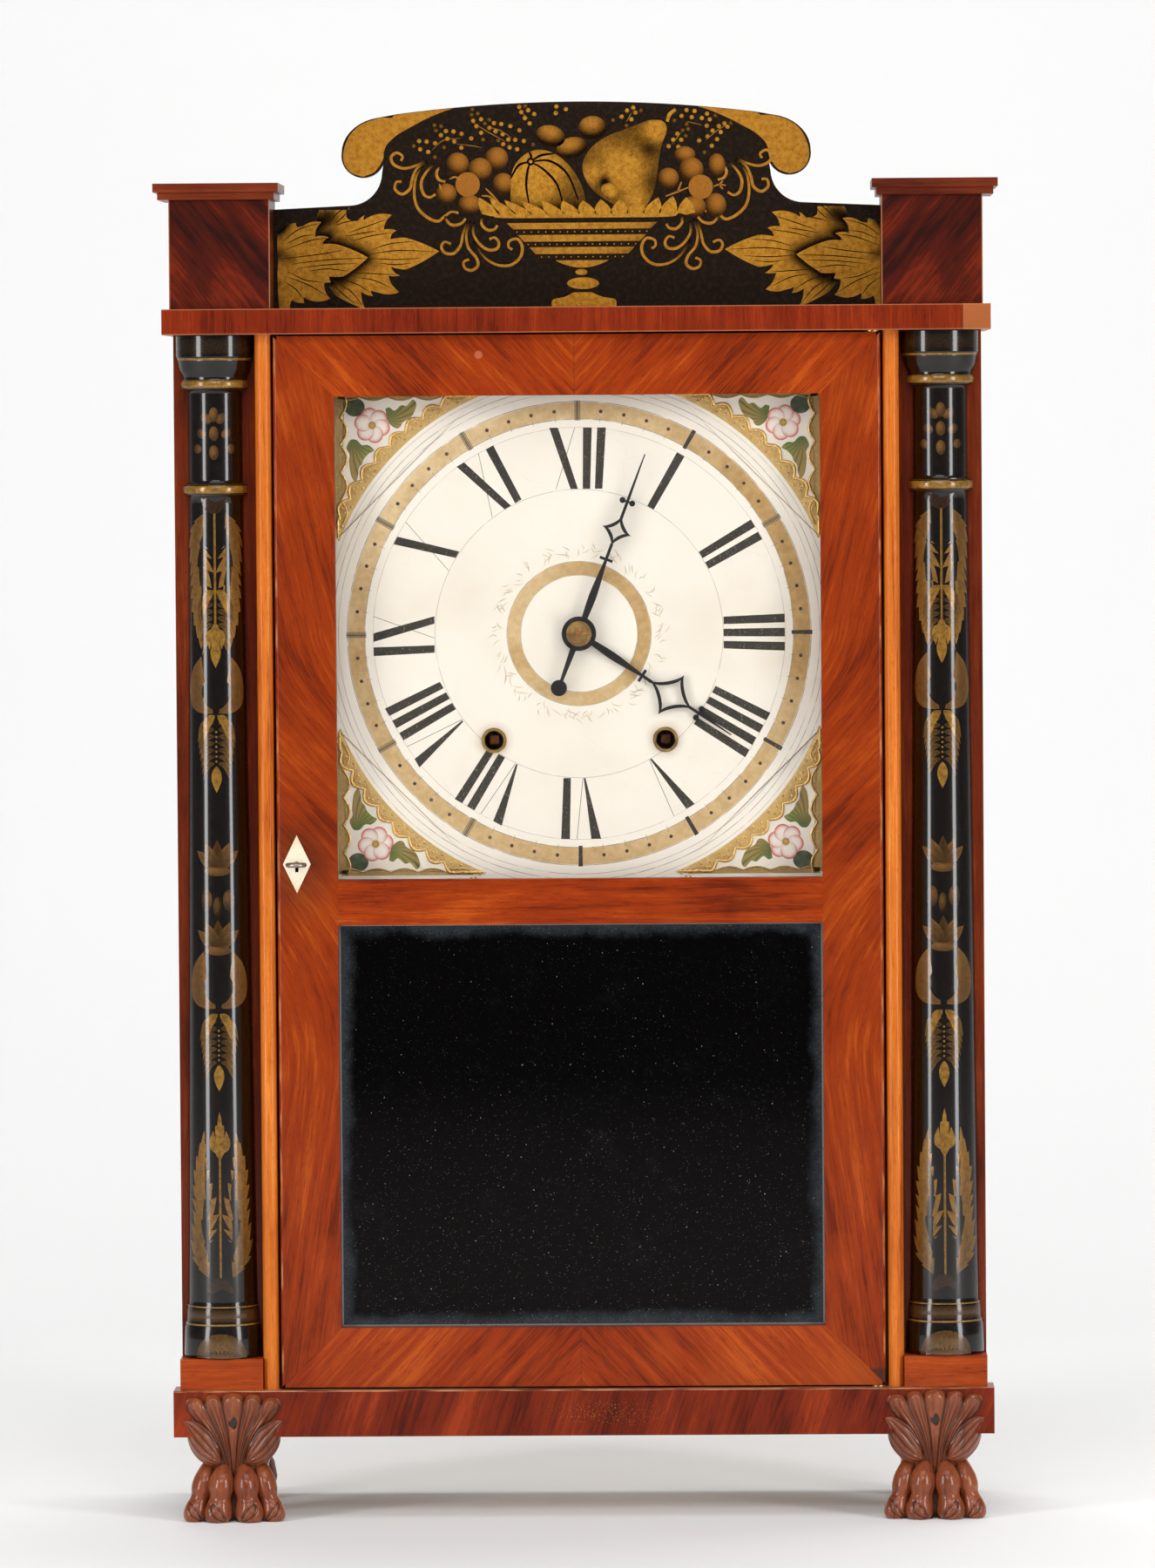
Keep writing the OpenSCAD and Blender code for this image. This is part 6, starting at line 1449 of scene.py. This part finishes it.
loss = gold.noise(v, 0.5, 4.0, 0.7).step(0.56, 0.70)
raised = gold.first(gold.attribute("tone"))
# The raised cords and grains are painted a lighter gold than the bed: a painted highlight on the relief.
bright = gold.mix((0.42, 0.275, 0.095), (0.72, 0.46, 0.155), raised)
gold.set(Base_Color=gold.mix(bright, (0.36, 0.250, 0.120), loss * 0.8), Roughness=loss * 0.3 + 0.24,
         Metallic=raised * 0.6 - loss * 0.2 + 0.1)
gold.bump(gold.noise(v, 1.6, 4.0, 0.7), 0.35, 0.7)
gilt.build("gilt_border", gold, "case", (), "painted_dial")

# %% [markdown]
# Each front foot is a lion's paw under a spray of leaves, carved from one block. It is
# built the way it was carved. First comes the mass of the ankle, as rings of a rounded
# outline that change size with height. Then four toes, each a bent tube that narrows
# behind the last joint and swells to a pad, with the claw cut in as an oval groove.
# Then a leaf at each side, and in front a fan of five flutes, like a shell.

# %% Carved paw
FOOT_X, TOE_Y, RAIL_Y = 185.5, -70.0, -62.0


def ring_stack(levels, sides=56, power=2.6):
    """Rings of a rounded box, from (height, middle x, half width, front y, back y), blended smoothly."""
    rows = spline(levels, 44)
    a = circle(sides, False)
    c, s = (np.sign(q) * np.abs(q) ** (2 / power) for q in (np.cos(a), np.sin(a)))
    front, back = rows[:, 3:4], rows[:, 4:]
    return np.stack([rows[:, 1:2] + rows[:, 2:3] * c, (front + back) / 2 + (back - front) / 2 * s,
                     rows[:, :1] + 0 * c], -1)


def toe(points, radii, tilt, sides=52, rows=76):
    """A tube round a bent line, and its painted shade, dark in the groove and its fine lines. On the pad,
    an almond groove is cut where the way round the toe plus the square of the way along it is one;
    fine lines run inside it."""
    p = spline(points, rows)
    t = np.linspace(0, 1, rows)[:, None]
    r = spline(list(enumerate(radii)), rows)[:, 1:]
    d = heading(p)
    side = np.cross(d, np.array([0.0, -1.0, 0.0]))
    side /= np.maximum(np.linalg.norm(side, axis=1), 1e-6)[:, None]
    a = circle(sides, False)[None]
    from_front = (a + np.pi) % (2 * np.pi) - np.pi
    u = (from_front - tilt * (t - 0.80) * 5.0) / 0.46
    far = np.abs(u) + ((t - 0.80) / 0.18) ** 2
    fine = np.exp(-(np.sin(5 * u) / 0.4) ** 2) * (far < 0.85)
    groove = -0.95 * np.exp(-((far - 1) / 0.20) ** 2) + 0.5 * np.exp(-(far / 0.7) ** 2) - 0.22 * fine
    # painted shade in the claw's groove and its fine lines
    tone = 1 - 0.85 * np.exp(-((far - 1) / 0.22) ** 2) - 0.4 * fine
    sinew = 0.35 * np.exp(-(from_front / 0.5) ** 2) * np.exp(-((t - 0.35) / 0.22) ** 2)
    return swept(p, r + groove + sinew, np.cross(side, d), side, a), tone


def fan(c):
    """The five-fluted leaf. u runs across it from -1 to 1 and v from its foot to its top. Half width
    and depth are smooth lines in v; each flute is a rounded arch between sharp valleys, its top edge
    an arc; the tips lean forward and the rim rolls back to the rail."""
    u = np.linspace(-1, 1, 121)[None]
    v = np.linspace(0, 1, 90)[:, None]
    half = np.interp(v[:, 0], [0, 0.12, 0.3, 0.5, 0.7, 0.85, 1],
                     [4.2, 5.6, 8.0, 12.4, 19.0, 23.6, 26.2])[:, None]
    edges = np.array([-1.0, -0.60, -0.235, 0.235, 0.60, 1.0])
    tops = np.array([66.2, 68.0, 68.7, 68.0, 66.2])
    k = np.clip(np.searchsorted(edges, u[0], side="right") - 1, 0, 4)
    inside = ((u[0] - edges[k]) / (edges[k + 1] - edges[k]))[None]
    arch = np.sin(np.pi * inside).clip(0, 1) ** 0.55
    top = tops[k][None] - 3.4 * (1 - np.sqrt(np.clip(1 - (2 * inside - 1) ** 2, 0, 1)))
    z = 27.0 + (top - 27.0) * v
    x = half * u * (1 - 0.03 * v)
    base = np.interp(v[:, 0], [0, 0.25, 0.5, 0.8, 1.0], [-58.6, -61.0, -62.9, -63.6, -64.0])[:, None]
    rise = 0.9 + 2.3 * v
    lines = (0.42 * np.cos(2 * np.pi * inside * 3) * np.where(k == 2, 0.0, 1.0)[None]
             * np.clip(v * 4 * (1.02 - v) * 1.2, 0, 1))
    ridge = 0.55 * np.exp(-(u / 0.035) ** 2) * (1 - v**6)
    pit = -2.4 * np.exp(-(((x - 0.4) / 1.25) ** 2 + ((z - 52.6) / 3.3) ** 2) ** 2)
    curl = 1.3 * np.exp(-((v - 0.88) / 0.12) ** 2)
    rim = -3.4 * np.clip((v - 0.93) / 0.07, 0, 1) ** 2
    round_side = -2.6 * np.abs(u) ** 4
    y = base - (rise * arch + lines + ridge + pit + curl + rim + round_side)
    # The tone is painted shade: dark in the valleys between the flutes and in the fine lines, darker
    # towards the foot, with a painted highlight down the middle ridge.
    tone = (1 - 0.85 * np.exp(-((arch / 0.42) ** 2)) + 0.9 * lines.clip(-1, 0) - 0.25 * (1 - v)
            + 0.12 * np.exp(-(u / 0.05) ** 2))
    return np.stack([c + x, np.minimum(y, np.where(z > 44, RAIL_Y - 0.15, 0.0)), z], -1), tone.clip(0, 1)


def side_leaf(c, s):
    """A leaf that wraps the corner of the foot, between its lower and its upper edge, from the ankle to
    the tip on the rail. It bulges as a half sine between the edges, with grooves along its length."""
    low = spline([(7.6, -60.0, 30.5), (12.5, -60.5, 30.0), (18.0, -57.5, 32.0), (22.3, -55.0, 36.5),
                  (24.4, -54.5, 41.5), (25.0, -57.5, 47.0), (26.4, -62.4, 53.8)], 60)
    high = spline([(6.6, -60.6, 33.0), (7.2, -61.8, 38.5), (9.6, -62.8, 43.7), (12.8, -63.4, 48.6),
                   (17.7, -63.4, 52.4), (22.3, -63.0, 54.2), (26.5, -62.4, 54.0)], 60)
    v = np.linspace(0, 1, 41)[None, :, None]
    t = np.linspace(0, 1, 60)[:, None]
    flat = low[:, None] * (1 - v) + high[:, None] * v
    q = v[..., 0]
    bulge = (3.9 * np.sin(np.pi * q) ** 0.8) * np.sin(np.pi * (0.12 + 0.84 * t)) ** 0.7
    lines = 0.55 * np.cos(2 * np.pi * 5.0 * q) * np.sin(np.pi * q) ** 0.5 * np.sin(np.pi * t)
    flat[..., 1] -= bulge + lines
    flat[..., 0] += 1.0 * np.sin(np.pi * q) * (1 - q) * 2 * np.sin(np.pi * t)
    flat[..., 0] = c + s * flat[..., 0]
    # The tone is painted shade: dark in the grooves, along the upper edge, and towards the upper edge near
    # the ankle.
    tone = (1 - 0.7 * (0.5 - 0.5 * np.cos(2 * np.pi * 5.0 * q)) ** 2 * np.sin(np.pi * t) ** 0.5
            - 0.6 * np.exp(-((q - 1) / 0.06) ** 2) - 0.3 * q * (1 - t))
    return flat, tone.clip(0, 1)


MASS = [  # height, half width, front and back of the foot's mass
    (0.3, 18, -57, -24), (6, 19, -59, -24), (12, 18.8, -58, -23), (18, 17.8, -57, -22),
    (27, 17.4, -58, -21), (31, 18.6, -58.8, -20), (36, 21.6, -59.8, -19), (41, 23.2, -60.8, -18.5),
    (44.7, 23.2, -61.3, -17.5)]
TOES = [  # places outwards from the foot's middle, radii along them, and how far the claw tilts
    ([(4.6, -54, 29.5), (5.8, -58, 25.2), (6.4, -60.2, 20.6), (6.9, -61.2, 15.6), (7.4, -61.4, 10.8),
      (8, -62, 6.4), (8.5, -62.2, 3), (8.6, -62.2, 0.4)], [3.4, 5, 6.7, 6.9, 5.7, 6.6, 7.5, 7.2, 5.8], 0.7),
    ([(13, -50, 30), (14.8, -54, 25.2), (16.3, -56.2, 19.8), (17.6, -57.2, 14.8), (19, -57.8, 10),
      (20.2, -58.6, 6), (21, -58.8, 2.8), (21.2, -58.8, 0.4)], [3.4, 4.6, 5.8, 5.8, 4.8, 5.7, 6.3, 6, 4.8],
     1.0)]


def paw(side):
    """All grids of one paw with their painted shade, and whether each closes to a solid."""
    c = side * FOOT_X
    # The ankle's mass gets an even painted shade of 0.6.
    parts = [(ring_stack([(z, c, half, front, back) for z, half, front, back in MASS]), 0.6, True)]
    for s in (-1, 1):
        for line, radii, tilt in TOES:
            grid, tone = toe([(c + s * x, y, z) for x, y, z in line], radii, tilt * s)
            grid[..., 2] = np.maximum(grid[..., 2], 0.10)
            grid[..., 1] = np.maximum(grid[..., 1], TOE_Y)
            parts.append((grid, tone, True))
        parts.append((*side_leaf(c, s), False))
    return parts + [(*fan(c), False)]


feet = Surface()
for side in (-1, 1):
    for grid, tone, closed in paw(side):
        feet.add(grid, tone, round_v=closed, caps=closed, front=not closed)
carved = Finish("carved_mahogany", Coat_Roughness=0.12, Specular_IOR_Level=0.15)
x, y, z = carved.place()
cloud, ribbon, fibre, pore = grain(carved, z, x, y, 0.8)
hollow = carved.node("NewGeometry", out="Pointiness")
tone = (ribbon - 0.5) * 1.1 + (cloud - 0.5) * 0.8 + (fibre - 0.5) * 0.5 + 0.5
# The stored tone is painted shade in the carving's grooves and valleys.
cut = carved.first(carved.attribute("tone"))
colour = carved.mix((0.105, 0.021, 0.008), (0.230, 0.055, 0.018), tone.step(0.1, 0.6))
colour = carved.mix(colour, (0.350, 0.100, 0.032), tone.step(0.55, 1.0))
colour = carved.mix((0.020, 0.006, 0.003), colour, cut)
# Painted shade in the hollows, found by pointiness.
colour = carved.mix(colour, (0.022, 0.008, 0.005), hollow.step(0.48, 0.38) * 0.85)
# A painted highlight on the ridges.
colour = carved.mix(colour, (0.46, 0.150, 0.055), hollow.step(0.53, 0.62) * 0.35)
carved.set(Base_Color=colour, Roughness=(fibre - 0.5) * 0.2 + 0.42, Coat_Weight=(cloud - 0.5) * 0.3 + 0.55)
carved.bump(fibre - pore * 0.6, 0.10, 0.5)
feet.build("carved_paws", carved, "case", ["paw_feet"], "carved_wood")
dress(wood("turned_foot", lambda x, y, z: (z, x, y), light=(0.24, 0.070, 0.028),
           middle=(0.14, 0.035, 0.014), dark=(0.06, 0.014, 0.007), rough=0.5, coat=0.1), "rear_feet")

# %% [markdown]
# The cords that carry the weights are laid linen: three strands twisted together. A
# twisted cord is a tube whose section has three bumps, turned a little further at each
# step along its path. The run over the drum and pulley lies still. The straight fall
# shortens as its weight is wound up; here each fall is a piece of its own with its own
# mesh.

# %% Cords
linen = Finish("linen_cord")
x, y, z = linen.place()
dust = linen.noise(linen.vector(x, y, z), 1.5, 4.0, 0.7)
linen.set(Base_Color=linen.mix((0.30, 0.225, 0.125), (0.52, 0.43, 0.27), dust),
          Roughness=dust * 0.15 + 0.78)
linen.bump(dust, 0.10, 0.6)
CORD_Y, CORD_R = 22.0, 0.8
DRUM, DRUM_R, PULLEY, PULLEY_R = np.array([45.5, 411.9]), 23.6, np.array([170.0, 634.0]), 11.0
FALL_X, FALL_0, FALL_1, RISE = 181.0, 223.1, 634.0, 370.0


def twisted(route, lay_length=4.5, sides=12):
    """Three strands: the radius goes as 0.90 + 0.13 cos(3 angle), and turns once every lay_length."""
    deep = np.array([0.0, 1.0, 0.0])
    a = circle(sides, False)[None]
    turn = (2 * np.pi * run_length(route) / lay_length)[:, None]
    r = CORD_R * (0.90 + 0.13 * np.cos(3 * (a - turn)))
    return swept(route, r, np.cross(heading(route), deep), deep, a)


def upright(x, z):
    """A line in the plane of the cords."""
    return np.stack([x + 0 * z, CORD_Y + 0 * z, z], -1)


span = PULLEY - DRUM
tangent = math.atan2(span[1], span[0]) + math.acos((DRUM_R - PULLEY_R) / np.linalg.norm(span))
a = np.linspace(math.radians(330), tangent, 90)
on_drum = DRUM + DRUM_R * np.stack([np.cos(a), np.sin(a)], -1)
b = np.linspace(tangent, 0, 50)
on_pulley = PULLEY + PULLEY_R * np.stack([np.cos(b), np.sin(b)], -1)
t = np.linspace(0, 1, 260)[1:-1, None]
route = np.vstack([on_drum, on_drum[-1] * (1 - t) + on_pulley[0] * t, on_pulley])
runs = Surface()
for side in (-1, 1):
    line = upright(side * route[:, 0], route[:, 1])
    runs.add(twisted(line), 1.0, round_v=True, caps=True, flip=side > 0)
runs.build("cord_runs", linen, "case", ["winding_cords"], "cord")
for side, name in ((1, "time"), (-1, "strike")):
    line = upright(side * FALL_X, np.linspace(FALL_1, FALL_0, 420))
    fall = Surface().add(twisted(line), 1.0, round_v=True, caps=True)
    piece = fall.build(name + "_cord_fall", linen, "case", [name + "_weight_cord"], "cord")
    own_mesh(piece)

# %% [markdown]
# Last comes the studio paper: a floor that bends up behind the clock in a wide curve.
# It is pale and plain, and clear from behind, so the clock's back can be seen too.

# %% Paper floor and backdrop
FLOOR_FRONT, FLOOR_BACK, BEND, PAPER_TOP, PAPER_HALF = -2800, 900, 1200, 5000, 4000
bend = np.linspace(0, np.pi / 2, 24)
profile = np.vstack([(FLOOR_FRONT, 0), (FLOOR_BACK, 0),
                     np.stack([FLOOR_BACK + BEND * np.sin(bend), BEND - BEND * np.cos(bend)], -1),
                     (FLOOR_BACK + BEND, PAPER_TOP)])[:, None]
x = np.linspace(-PAPER_HALF, PAPER_HALF, 9)[None]
y, z = profile[..., 0], profile[..., 1]
sheet = Surface().add(np.stack([x + 0 * y, y + 0 * x, z + 0 * x], -1))
paper = Finish("paper", Base_Color=(0.93, 0.93, 0.92), Roughness=0.9)
links, nodes = paper.tree.links, paper.tree.nodes
output = next(node for node in nodes if node.type == "OUTPUT_MATERIAL")
both_sides = nodes.new("ShaderNodeMixShader")
links.new(nodes.new("ShaderNodeNewGeometry").outputs["Backfacing"], both_sides.inputs[0])
links.new(output.inputs["Surface"].links[0].from_socket, both_sides.inputs[1])
links.new(nodes.new("ShaderNodeBsdfTransparent").outputs[0], both_sides.inputs[2])
links.new(both_sides.outputs[0], output.inputs["Surface"])
sheet.build("paper", paper, None)
